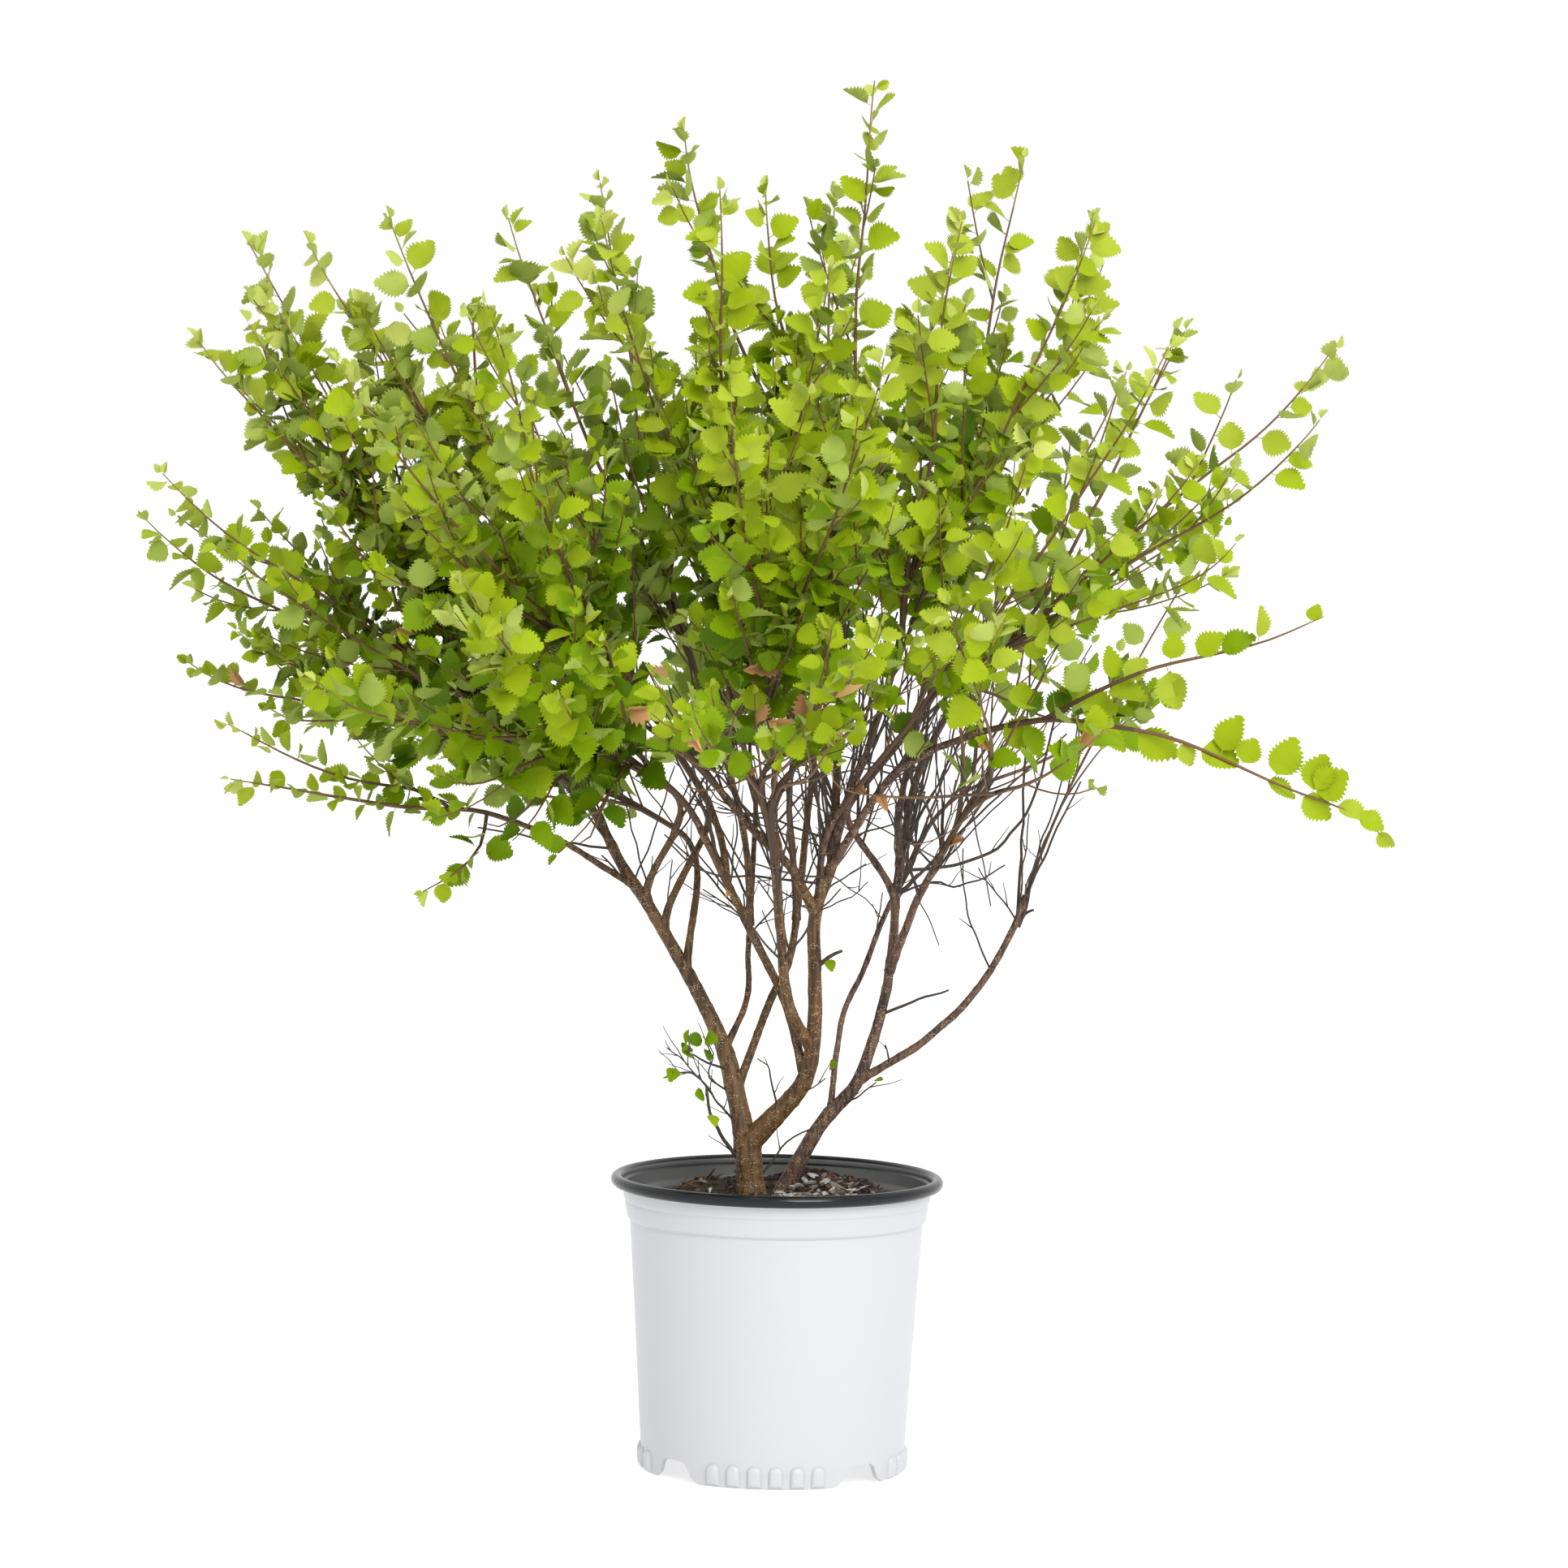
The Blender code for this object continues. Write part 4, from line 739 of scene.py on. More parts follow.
def bark_finish(name, colour, shade, pore):
    """Smooth young bark: upright streaks, and pale pores that lie as short dashes across the limb."""
    made = Finish(name, colour, 0.55, Specular_IOR_Level=0.35)
    fibre = made.noise(made.place((420.0, 420.0, 34.0)), 1.0, 5.0)
    patch = made.noise(made.place((34.0, 34.0, 22.0)), 1.0, 3.0)
    streak = made.ramp(fibre * 0.7 + patch * 0.4, 0.44, 0.64)
    cells = made.node("ShaderNodeTexVoronoi", {}, {"Vector": made.place((120.0, 120.0, 330.0))}, "Distance")
    chosen = made.noise(made.place((90.0, 90.0, 240.0)), 1.0, 1.0)
    dash = (cells < 0.27) * (chosen > 0.52)
    made.colour(made.mix(dash, made.mix(streak, shade, colour), pore))
    made.roughness(0.62 - 0.16 * streak)
    made.bump(fibre * 0.6 + patch * 0.5 + dash * 0.7, 0.0009, 0.85)
    return made.material


def peat_finish(colour, dark):
    made = Finish("peat", colour, 0.95)
    crumb = made.noise(made.place(), 320.0, 6.0)
    made.colour(made.mix(made.ramp(crumb, 0.35, 0.65), dark, colour))
    made.bump(crumb, 0.0015)
    return made.material


def plain_finish(name, colour, roughness, **constants):
    return Finish(name, colour, roughness, **constants).material


# Modelling
def deselect():
    bpy.ops.object.select_all(action="DESELECT")


def begin(name):
    """Names the primitive that was just added and opens it for editing with all of it selected."""
    piece = bpy.context.object
    piece.name = name
    piece.data.name = name
    bpy.ops.object.transform_apply(location=True, rotation=True, scale=True)
    bpy.ops.object.mode_set(mode="EDIT")
    bpy.ops.mesh.select_all(action="SELECT")
    return piece


def close():
    bpy.ops.object.mode_set(mode="OBJECT")


def turned(name, profile, sides):
    """A closed solid drawn up from a circle: each ring is extruded from the last and resized."""
    deselect()
    radius, height = profile[0]
    bpy.ops.mesh.primitive_circle_add(vertices=sides, radius=radius, location=(0.0, 0.0, height))
    piece = begin(name)
    for next_radius, next_height in profile[1:]:
        bpy.ops.mesh.extrude_edges_move(TRANSFORM_OT_translate={"value": (0.0, 0.0, next_height - height)})
        ratio = next_radius / radius
        bpy.ops.transform.resize(value=(ratio, ratio, 1.0), center_override=(0.0, 0.0, next_height))
        radius, height = next_radius, next_height
    bpy.ops.mesh.select_all(action="SELECT")
    bpy.ops.mesh.fill_holes(sides=0)
    bpy.ops.mesh.normals_make_consistent(inside=False)
    close()
    return piece


def eased(profile, reach):
    """An outline with each sharp corner rounded by three points."""
    rounded = [profile[0]]
    for before, corner, after in zip(profile, profile[1:], profile[2:]):
        before, corner, after = Vector(before), Vector(corner), Vector(after)
        into, out = before - corner, after - corner
        start = corner + into * min(0.5, reach / into.length)
        end = corner + out * min(0.5, reach / out.length)
        middle = (start + end) / 4 + corner / 2
        rounded += [tuple(start), tuple(middle), tuple(end)]
    return rounded + [profile[-1]]


def body_radius(height):
    """Outer radius of the pot's tapering body."""
    return FOOT_RADIUS + SLOPE * height


def select_only(pieces):
    deselect()
    for piece in pieces:
        piece.select_set(True)
    bpy.context.view_layer.objects.active = pieces[0]


def apply_modifier(piece, kind, **settings):
    select_only([piece])
    bpy.ops.object.modifier_add(type=kind)
    modifier = piece.modifiers[-1]
    for key, value in settings.items():
        setattr(modifier, key, value)
    bpy.ops.object.modifier_apply(modifier=modifier.name)


def copies_round(piece, turns):
    """Copies of a piece turned about Z, the piece itself among them."""
    made = []
    for turn in turns:
        copy = piece.copy()
        copy.data = piece.data.copy()
        bpy.context.scene.collection.objects.link(copy)
        copy.data.transform(Matrix.Rotation(turn, 4, "Z"))
        made.append(copy)
    bpy.data.objects.remove(piece)
    return made


def joined(pieces):
    select_only(pieces)
    bpy.ops.object.join()
    return pieces[0]


def smooth_shaded(piece, angle=40):
    select_only([piece])
    bpy.ops.object.shade_smooth_by_angle(angle=math.radians(angle))


def set_materials(piece, materials):
    piece.data.materials.clear()
    for material in materials:
        piece.data.materials.append(material)


def hand_over(piece, slot, *nodes):
    """Puts a finished piece on the root body and hides the nodes that it stands for. Its slot is not used.
    """
    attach(piece, "root")
    if nodes:
        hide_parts(*nodes)


# Routes
def smooth_route(points, step):
    """Points about a step apart on a smooth curve that passes through the given ones."""
    padded = [points[0] * 2 - points[1], *points, points[-1] * 2 - points[-2]]
    route = [points[0]]
    for before, start, end, after in zip(padded, padded[1:], padded[2:], padded[3:]):
        count = max(1, round((end - start).length / step))
        for i in range(1, count + 1):
            t = i / count
            bend = (end - before) * t + (before * 2 - start * 5 + end * 4 - after) * t**2
            bend += (start * 3 - before - end * 3 + after) * t**3
            route.append(start + bend / 2)
    return route


def lengths_along(route):
    return np.cumsum([0.0] + [(b - a).length for a, b in zip(route, route[1:])])


def radii_along(route, diameters):
    """Half the diameters, which are spread evenly along the route's length."""
    lengths = lengths_along(route)
    marks = np.linspace(0.0, lengths[-1], len(diameters))
    return [float(d) / 2 for d in np.interp(lengths, marks, diameters)]


def at_share(route, share):
    """The point and direction at a share of a route's points."""
    at = min(max(share, 0.0), 0.9999) * (len(route) - 1)
    i = int(at)
    return route[i].lerp(route[i + 1], at - i), (route[i + 1] - route[i]).normalized()


def point_at_height(route, height):
    for start, end in zip(route, route[1:]):
        if start.z <= height <= end.z:
            return start.lerp(end, (height - start.z) / (end.z - start.z))
    return route[-1].copy()


def wandering(route, reach, scale):
    """A route that strays a little to the sides, and not at its two ends."""
    last = len(route) - 1
    return [
        point + noise.noise_vector(point * scale) * reach * math.sin(math.pi * i / last)
        for i, point in enumerate(route)
    ]


# Limbs
Limb = namedtuple("Limb", "route radii parent")


def plan_limbs():
    """Each limb's route, radii and parent, by name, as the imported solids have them."""
    limbs = {}
    for name, (points, diameters) in STEMS.items():
        route = smooth_route([Vector(p) for p in points], LIMB_STEP)
        limbs[name] = Limb(route, radii_along(route, diameters), None)
    for name, (parent, height, points, diameters) in SEEN_BOUGHS.items():
        root = point_at_height(limbs[parent].route, height)
        route = smooth_route([root] + [Vector(p) for p in points], LIMB_STEP)
        limbs[name] = Limb(route, radii_along(route, diameters), parent)
    carried = {mass.carrier: mass.shoots for mass in MASSES.values()}
    for name, (parent, height) in INNER_BOUGHS.items():
        root = point_at_height(limbs[parent].route, height)
        tips = [Vector(shoot[-1]) for shoot in carried[name]]
        outwards = (sum(tips, Vector()) / len(tips) - CROWN_FOOT).normalized()
        entry = CROWN_FOOT + outwards * ENTRY_REACH
        bend = (entry - root).length * ENTRY_BEND
        route = interpolate_bezier(root, root + UP * bend, entry - outwards * bend, entry, 40)
        limbs[name] = Limb(route, radii_along(route, INNER_DIAMETERS), parent)
    return limbs


def bark_radii(limb, limbs, dice):
    """A limb's radii with a root flare or collar at its foot and a swelling at every old bud."""
    lengths = lengths_along(limb.route)
    inside = STEM_FLARE
    if limb.parent:
        parent = limbs[limb.parent]
        nearest = min(range(len(parent.route)), key=lambda i: (parent.route[i] - limb.route[0]).length)
        inside = parent.radii[nearest]
    buds = []
    at = inside + FIRST_BUD
    while at < lengths[-1]:
        buds.append((at, dice.uniform(*BUD_SWELLING)))
        at += dice.uniform(*BUD_DISTANCE)
    radii = []
    for length, radius in zip(lengths, limb.radii):
        swelling = FOOT_SWELLING * math.exp(-max(0.0, length - inside) / FOOT_FADE)
        swelling += sum(size * math.exp(-((length - at) / BUD_LENGTH) ** 2) for at, size in buds)
        radii.append(radius * (1 + swelling))
    return radii


def tube_curve(name, route, radii, sides):
    """A bevelled curve along a route, made a closed mesh."""
    deselect()
    bpy.ops.curve.primitive_nurbs_path_add()
    piece = bpy.context.object
    piece.name = name
    curve = piece.data
    curve.splines.clear()
    spline = curve.splines.new("POLY")
    spline.points.add(len(route) - 1)
    for point, centre, radius in zip(spline.points, route, radii):
        point.co = (*centre, 1.0)
        point.radius = radius
    curve.bevel_depth = 1.0
    curve.bevel_resolution = (sides - 4) // 2
    curve.use_fill_caps = True
    bpy.ops.object.convert(target="MESH")
    bpy.ops.object.mode_set(mode="EDIT")
    bpy.ops.mesh.select_all(action="SELECT")
    bpy.ops.mesh.remove_doubles(threshold=0.00001)
    bpy.ops.mesh.normals_make_consistent(inside=False)
    close()
    return piece


def make_limb(name, limbs, sides, relief, textures):
    dice = random.Random(name)
    limb = limbs[name]
    route = wandering(limb.route, *LIMB_STRAY)
    piece = tube_curve(name + "_bark", route, bark_radii(limb, limbs, dice), sides)
    for texture, share in zip(textures, (1.0, 0.6)):
        apply_modifier(piece, "DISPLACE", texture=texture, strength=relief * share, texture_coords="LOCAL")
    smooth_shaded(piece, 60)
    return piece


# Growth
Branch = namedtuple("Branch", "route radii rank bare fresh")


class Space:
    """The limbs as line segments, and how far given points lie from their bark."""

    def __init__(self, limbs):
        starts = []
        ends = []
        radii = []
        for limb in limbs.values():
            route = limb.route[::6] + [limb.route[-1]]
            starts += route[:-1]
            ends += route[1:]
            radii += [limb.radii[0]] * (len(route) - 1)
        self.starts = np.array(starts)
        self.spans = np.array(ends) - self.starts
        self.lengths = np.maximum((self.spans**2).sum(-1), 1e-12)
        self.radii = np.array(radii)

    def clear(self, points):
        offset = np.array(points)[:, None] - self.starts[None]
        share = (offset * self.spans).sum(-1) / self.lengths
        nearest = offset - np.clip(share, 0.0, 1.0)[..., None] * self.spans
        return (np.linalg.norm(nearest, axis=-1) - self.radii).min() > LIMB_CLEARANCE


def in_box(point, margin):
    low, high = CAD_BOX
    return all(low[i] + margin < point[i] < high[i] - margin for i in range(3))


def stray(dice, reach):
    return Vector([dice.uniform(-reach, reach) for _ in range(3)])


def leading_shoots(mass, limbs, dice):
    """A mass's leading shoots. The first one goes on from the bough, and the rest split from it."""
    limb = limbs[mass.carrier]
    bough_heading = (limb.route[-1] - limb.route[-2]).normalized()
    ways = [[Vector(point) for point in shoot] for shoot in mass.shoots]
    first_tip, last_tip = ways[0][-1], ways[-1][-1]
    for _ in range(mass.fill):
        near = first_tip.lerp(last_tip, dice.uniform(*FILL_TOWARDS))
        reach = dice.uniform(*mass.reach)
        outwards = near - CROWN_FOOT
        sideways = UP.cross(outwards).normalized() * dice.uniform(-FILL_SIDEWAYS, FILL_SIDEWAYS)
        ways.append([CROWN_FOOT + outwards * reach + sideways + stray(dice, FILL_SPREAD)])
    ways += [[Vector(tip)] for tip in mass.added]
    planned = []
    for number, way in enumerate(ways):
        tip = way[-1]
        foot, heading = limb.route[-1] - bough_heading * SUNK, bough_heading
        radius = limb.radii[-1] * mass.thinning
        if planned:
            usual = number < len(LEADER_SPLIT)
            split = LEADER_SPLIT[number] if usual else dice.uniform(*FILL_SPLIT)
            stem = planned[0]
            foot, heading = at_share(stem.route, split)
            radius = stem.radii[int(split * (len(stem.radii) - 1))] * LEADER_THINNING
        if len(way) > 1:
            route = smooth_route([foot, *way], LEADER_STEP)
        else:
            bend = (tip - foot).length * LEADER_BEND
            arrival = ((tip - CROWN_FOOT).normalized() + UP * LEADER_RISE).normalized()
            end = tip - arrival * TIP_ROOM
            count = max(6, int((tip - foot).length / LEADER_STEP))
            route = interpolate_bezier(foot, foot + heading * bend, end - arrival * bend, end, count)
        route = wandering(route, *LEADER_STRAY)
        middle = min(LEADER_MIDDLE, radius * 1.4)
        radii = radii_along(route, (radius * 2, middle, TIP_DIAMETER))
        fresh = mass.fresher + dice.uniform(-0.08, 0.12)
        planned.append(Branch(route, radii, 0, mass.bare, fresh))
    return planned


def side_twigs(parent, rank, usual, spacing, space, dice):
    """Twigs that stand round a shoot at the golden angle, shorter towards its tip."""
    length = lengths_along(parent.route)[-1]
    first = TWIG_FIRST[rank]
    count = int(length * (TWIG_LAST - first) / spacing)
    turn = dice.uniform(0, 2 * math.pi)
    twigs = []
    for n in range(count):
        share = first + (TWIG_LAST - first) * (n + dice.random() * 0.6) / count
        foot, along = at_share(parent.route, share)
        turn += GOLDEN_ANGLE
        side = along.orthogonal().normalized()
        side.rotate(Matrix.Rotation(turn, 3, along))
        angle = TWIG_ANGLE * dice.uniform(0.8, 1.2)
        heading = along * math.cos(angle) + side * math.sin(angle)
        reach = usual * dice.uniform(0.45, 1.15) * (1.25 - 0.85 * share)
        for _ in range(3):
            end = foot + heading * reach + UP * (TWIG_RISE * reach) + stray(dice, 0.04 * reach)
            if in_box(end, TWIG_MARGIN) and space.clear([foot.lerp(end, 0.5), end]):
                bend = reach * TWIG_BEND
                arrival = ((end - foot).normalized() + UP * 0.3).normalized()
                steps = max(4, int(reach / LEADER_STEP))
                route = interpolate_bezier(foot, foot + heading * bend, end - arrival * bend, end, steps)
                radius = min(TWIG_RADIUS, 0.85 * parent.radii[int(share * (len(parent.radii) - 1))])
                radii = radii_along(route, (radius * 2, TIP_DIAMETER))
                fresh = parent.fresh + dice.uniform(-FRESH_SPREAD, FRESH_SPREAD)
                twigs.append(Branch(route, radii, rank, TWIG_BARE, fresh))
                break
            reach *= 0.6
    return twigs


def shade_and_freshness_at(point, fresh):
    """Tone of the leaves at a place, from 0 deep inside the crown to 1 at its top and its tips: painted
    shade, darker inside and low in the crown, with the shoot's freshness added.
    """
    out = point - CROWN_FOOT
    height = out.z / CROWN_HEIGHT
    spread = math.hypot(out.x, out.y) / CROWN_SPREAD
    return 0.66 * height + 0.36 * spread + fresh - 0.1


Leaf = namedtuple("Leaf", "root along facing size tone kind")


def leaves_of(branch, mass, spacing, length, space, dice):
    """Leaves that alternate along a shoot or twig, closer and smaller towards its tip."""
    lengths = lengths_along(branch.route)
    total = lengths[-1]
    shrink = SHRINK_REACH[branch.rank]
    at = total * branch.bare
    side = 1
    found = []
    while True:
        left = max(0.0, total - at)
        grown = min(1.0, left / shrink) ** 0.6
        share = float(np.interp(at, lengths, np.linspace(0.0, 1.0, len(lengths))))
        root, along = at_share(branch.route, share)
        outwards = root - CROWN_FOOT
        outwards.z = 0.0
        outwards.normalize()
        jitter = stray(dice, 1.0)
        side = -side
        across = along.cross(UP * 0.8 + jitter).normalized()
        tip = left < TIP_NEAR
        if tip:
            heading = along + jitter * 0.15
        else:
            heading = along * (0.45 + 0.4 * (1 - grown)) + across * side * 0.8 + jitter * 0.3
            heading += UP * dice.uniform(-0.25, 0.2)
        facing = UP * 0.42 + outwards * 0.42 + stray(dice, 0.85) + Vector((0.0, -0.18, 0.0))
        size = length * (SMALLEST + (1 - SMALLEST) * grown) * dice.uniform(0.68, 1.16)
        heading.normalize()
        middle = root + heading * size * 0.7
        # Tone: painted shade from the leaf's place in the crown, lighter for young leaves, and a random
        # spread
        tone = shade_and_freshness_at(root, branch.fresh) + 0.22 * (1 - grown) + dice.uniform(-FRESH_SPREAD, FRESH_SPREAD)
        kind = "young" if grown < YOUNG_BELOW else "grown"
        if middle.z < WITHERED_HEIGHT and tone < WITHERED_TONE and dice.random() < WITHERED_SHARE:
            kind = "withered"
        if in_box(root + heading * size * 1.2, BOX_MARGIN) and space.clear([middle, root + heading * size]):
            inside = middle.xy.length < mass.radius
            dense = (middle.z - mass.skirt) / mass.fade if inside else 1.0
            if middle.z > mass.skirt and dice.random() < min(DENSEST, dense):
                found.append(Leaf(root, heading, facing, size, tone, kind))
        if tip:
            return found
        crowded = TIP_CROWDING if branch.rank == 0 and left < TIP_REACH else 1.0
        at = min(total, at + spacing * crowded * (0.5 + 0.5 * grown) * dice.uniform(0.75, 1.25))


def placed_leaf(place, shoots, dice):
    """A leaf whose middle is at a place of the photographed side, held by the shoot that runs by it."""
    x, z, size = place
    points = [at_share(shoot.route, i / 80)[0] for shoot in shoots for i in range(81)]
    root = min(points, key=lambda p: abs(math.hypot(x - p.x, z - p.z) - size * 0.7) + 0.02 * (p.x > x))
    heading = Vector((x - root.x, dice.uniform(-0.004, 0.002), z - root.z)).normalized()
    facing = Vector((0.0, -0.85, 0.62)) + stray(dice, 0.75)
    return Leaf(root, heading, facing, size, dice.uniform(0.36, 0.74), "grown")


def leaf_near(spot, carriers, size, kind, dice):
    """A leaf on whichever carrier passes nearest behind or before a spot of the photographed side."""
    x, z = spot
    root = min(carriers, key=lambda p: math.hypot(p.x - x, p.z - z) + 0.02 * abs(p.y))
    heading = (Vector((x - root.x, -0.006, z - root.z)) + stray(dice, 0.004) - UP * 0.002).normalized()
    facing = Vector((0.0, -0.8, 0.5)) + stray(dice, 0.7)
    return Leaf(root, heading, facing, size * dice.uniform(0.8, 1.2), dice.uniform(0.05, 0.5), kind)


# Leaves, twigs and loose bits as joined meshes
class Batch:
    """Points, faces and material choices of many small closed shapes that make one piece."""

    def __init__(self):
        self.points = []
        self.faces = []
        self.choices = []
        self.count = 0

    def add(self, points, faces, choices):
        self.points.append(points)
        self.faces += [[corner + self.count for corner in face] for face in faces]
        self.choices += choices
        self.count += len(points)

    def piece(self, name, materials, angle):
        """All the shapes as one piece, smooth where its faces meet under an angle in degrees."""
        mesh = bpy.data.meshes.new(name)
        mesh.from_pydata(np.concatenate(self.points).tolist(), [], self.faces)
        for material in materials:
            mesh.materials.append(material)
        mesh.polygons.foreach_set("material_index", self.choices)
        mesh.shade_smooth()
        mesh.set_sharp_from_angle(angle=math.radians(angle))
        piece = bpy.data.objects.new(name, mesh)
        bpy.context.scene.collection.objects.link(piece)
        return piece


def zipped(first, second):
    """Triangles between two rows of (vertex, place along) whose places both run from 0 to 1."""
    faces = []
    i = j = 0
    while i < len(first) - 1 or j < len(second) - 1:
        if j == len(second) - 1 or (i < len(first) - 1 and first[i + 1][1] <= second[j + 1][1]):
            faces.append((first[i][0], first[i + 1][0], second[j][0]))
            i += 1
        else:
            faces.append((first[i][0], second[j + 1][0], second[j][0]))
            j += 1
    return faces


def leaf_template(teeth, breadth, fold, curl, dice):
    """One closed leaf of unit length with a toothed rim, as points, triangles and what each one shows.
    It lies along Y, faces +Z, and its stalk runs back from its base."""
    mesh = bmesh.new()

    def width(t):
        return breadth / 2 * math.sin(math.pi * t**LEAF_WIDEST) ** LEAF_FULLNESS if 0 < t < 1 else 0.0

    def height(x, y):
        bowl = 0.35 * x * x + 0.03 * math.sin(9 * y + 2) * abs(x)
        return fold * abs(x) - curl * y * y + bowl

    def vertex(x, y, thick=0.0):
        return mesh.verts.new((x, y, height(x, y) + thick))

    base, tip = vertex(0, 0), vertex(0, 1.02)
    rims = {}
    for side in (-1, 1):
        rim = [(base, 0.0)]
        for k in range(teeth):
            notch, point = (0.1 + 0.86 * (k + part) / teeth for part in (0.0, 0.66))
            inset = dice.uniform(0.03, 0.048) if k else 0.0
            out = dice.uniform(0.046, 0.074)
            rim.append((vertex(side * (width(notch) - inset), notch), notch))
            rim.append((vertex(side * (width(point) + out), point + 0.025), point))
        rims[side] = rim + [(tip, 1.0)]
    kinds = {}
    for shown, thick in ((0, LEAF_THICKNESS), (1, -LEAF_THICKNESS)):
        midrib = [(vertex(0, t, thick - 0.01), t) for t in (0.3, 0.66)]
        for side in (-1, 1):
            for face in zipped(midrib, rims[side]):
                kinds[mesh.faces.new(face)] = shown
    bmesh.ops.recalc_face_normals(mesh, faces=mesh.faces[:])
    turns = [math.tau * k / 3 for k in range(3)]
    corners = [(STALK_RADIUS * math.cos(turn), STALK_RADIUS * math.sin(turn)) for turn in turns]
    rings = [[mesh.verts.new((x, y, z - STALK_DROP)) for x, z in corners] for y in STALK_ENDS]
    for k, after in ((0, 1), (1, 2), (2, 0)):
        low, high, next_low, next_high = rings[0][k], rings[1][k], rings[0][after], rings[1][after]
        kinds[mesh.faces.new((low, high, next_high))] = 2
        kinds[mesh.faces.new((low, next_high, next_low))] = 2
    kinds[mesh.faces.new(rings[0])] = 2
    kinds[mesh.faces.new(reversed(rings[1]))] = 2
    mesh.verts.index_update()
    points = np.array([v.co for v in mesh.verts])
    faces = [[v.index for v in face.verts] for face in mesh.faces]
    shows = [kinds[face] for face in mesh.faces]
    mesh.free()
    return points, faces, shows


def leaf_templates():
    dice = random.Random(SEED)
    grown = [
        leaf_template(9, *(dice.uniform(*reach) for reach in GROWN_FORM), dice)
        for _ in range(GROWN_KINDS)
    ]
    young = [leaf_template(5, 0.72, fold, 0.1, dice) for fold in (0.35, 0.7, 1.1)]
    withered = [leaf_template(5, 0.62, 1.3, curl, dice) for curl in (0.3, -0.4)]
    return {"grown": grown, "young": young, "withered": withered}


def leaf_batch(leaves, templates, dice):
    """All the leaves of a mass, each with the materials of its tone."""
    batch = Batch()
    for leaf in leaves:
        template, faces, shows = dice.choice(templates[leaf.kind])
        side = leaf.along.cross(leaf.facing).normalized()
        facing = side.cross(leaf.along).normalized()
        axes = np.array([side * dice.uniform(0.88, 1.08), leaf.along, facing]) * leaf.size
        base = np.array(leaf.root + leaf.along * leaf.size * 0.2)
        upper = min(TONES - 1, max(0, int(leaf.tone * TONES)))
        shades = upper, UNDER_FRESH if upper > 2 else UNDER, STALK
        if leaf.kind == "withered":
            shades = (WITHERED,) * 3
        batch.add(template @ axes + base, faces, [shades[shown] for shown in shows])
    return batch


def tube_batch(branches, side_counts):
    """All the twigs of a mass as closed tubes, whose material changes along them."""
    batch = Batch()
    for branch in branches:
        route = branch.route
        last = len(route) - 1
        sides = side_counts[branch.rank]
        angles = np.arange(sides) * 2 * math.pi / sides
        across = Vector((1.0, 0.0, 0.0))
        points = []
        for i, (centre, radius) in enumerate(zip(route, branch.radii)):
            along = (route[min(i + 1, last)] - route[max(i - 1, 0)]).normalized()
            across = across - along * across.dot(along)
            if across.length < 1e-3:
                across = along.orthogonal()
            across.normalize()
            ring = np.outer(np.cos(angles), across) + np.outer(np.sin(angles), along.cross(across))
            points.append(np.array(centre) + ring * radius)
        faces = []
        shades = []
        for ring in range(last):
            low, high = ring * sides, (ring + 1) * sides
            for k in range(sides):
                following = (k + 1) % sides
                faces.append((low + k, low + following, high + following, high + k))
            share = ring / last
            old = branch.rank == 0 and share < OLD_SHARE
            shades += [0 if old else 2 if share > GREEN_SHARE else 1] * sides
        faces += [range(sides - 1, -1, -1), range(last * sides, (last + 1) * sides)]
        batch.add(np.concatenate(points), faces, shades + [shades[-1]] * 2)
    return batch


def leaf_finishes(settings):
    """The leaves' materials in the order of their table, made once."""
    if "leaf_deep" not in bpy.data.materials:
        for name, roughness in LEAF_ROUGHNESS.items():
            plain_finish("leaf_" + name, getattr(settings, name), roughness, Specular_IOR_Level=0.1)
    return [bpy.data.materials["leaf_" + name] for name in LEAF_ROUGHNESS]


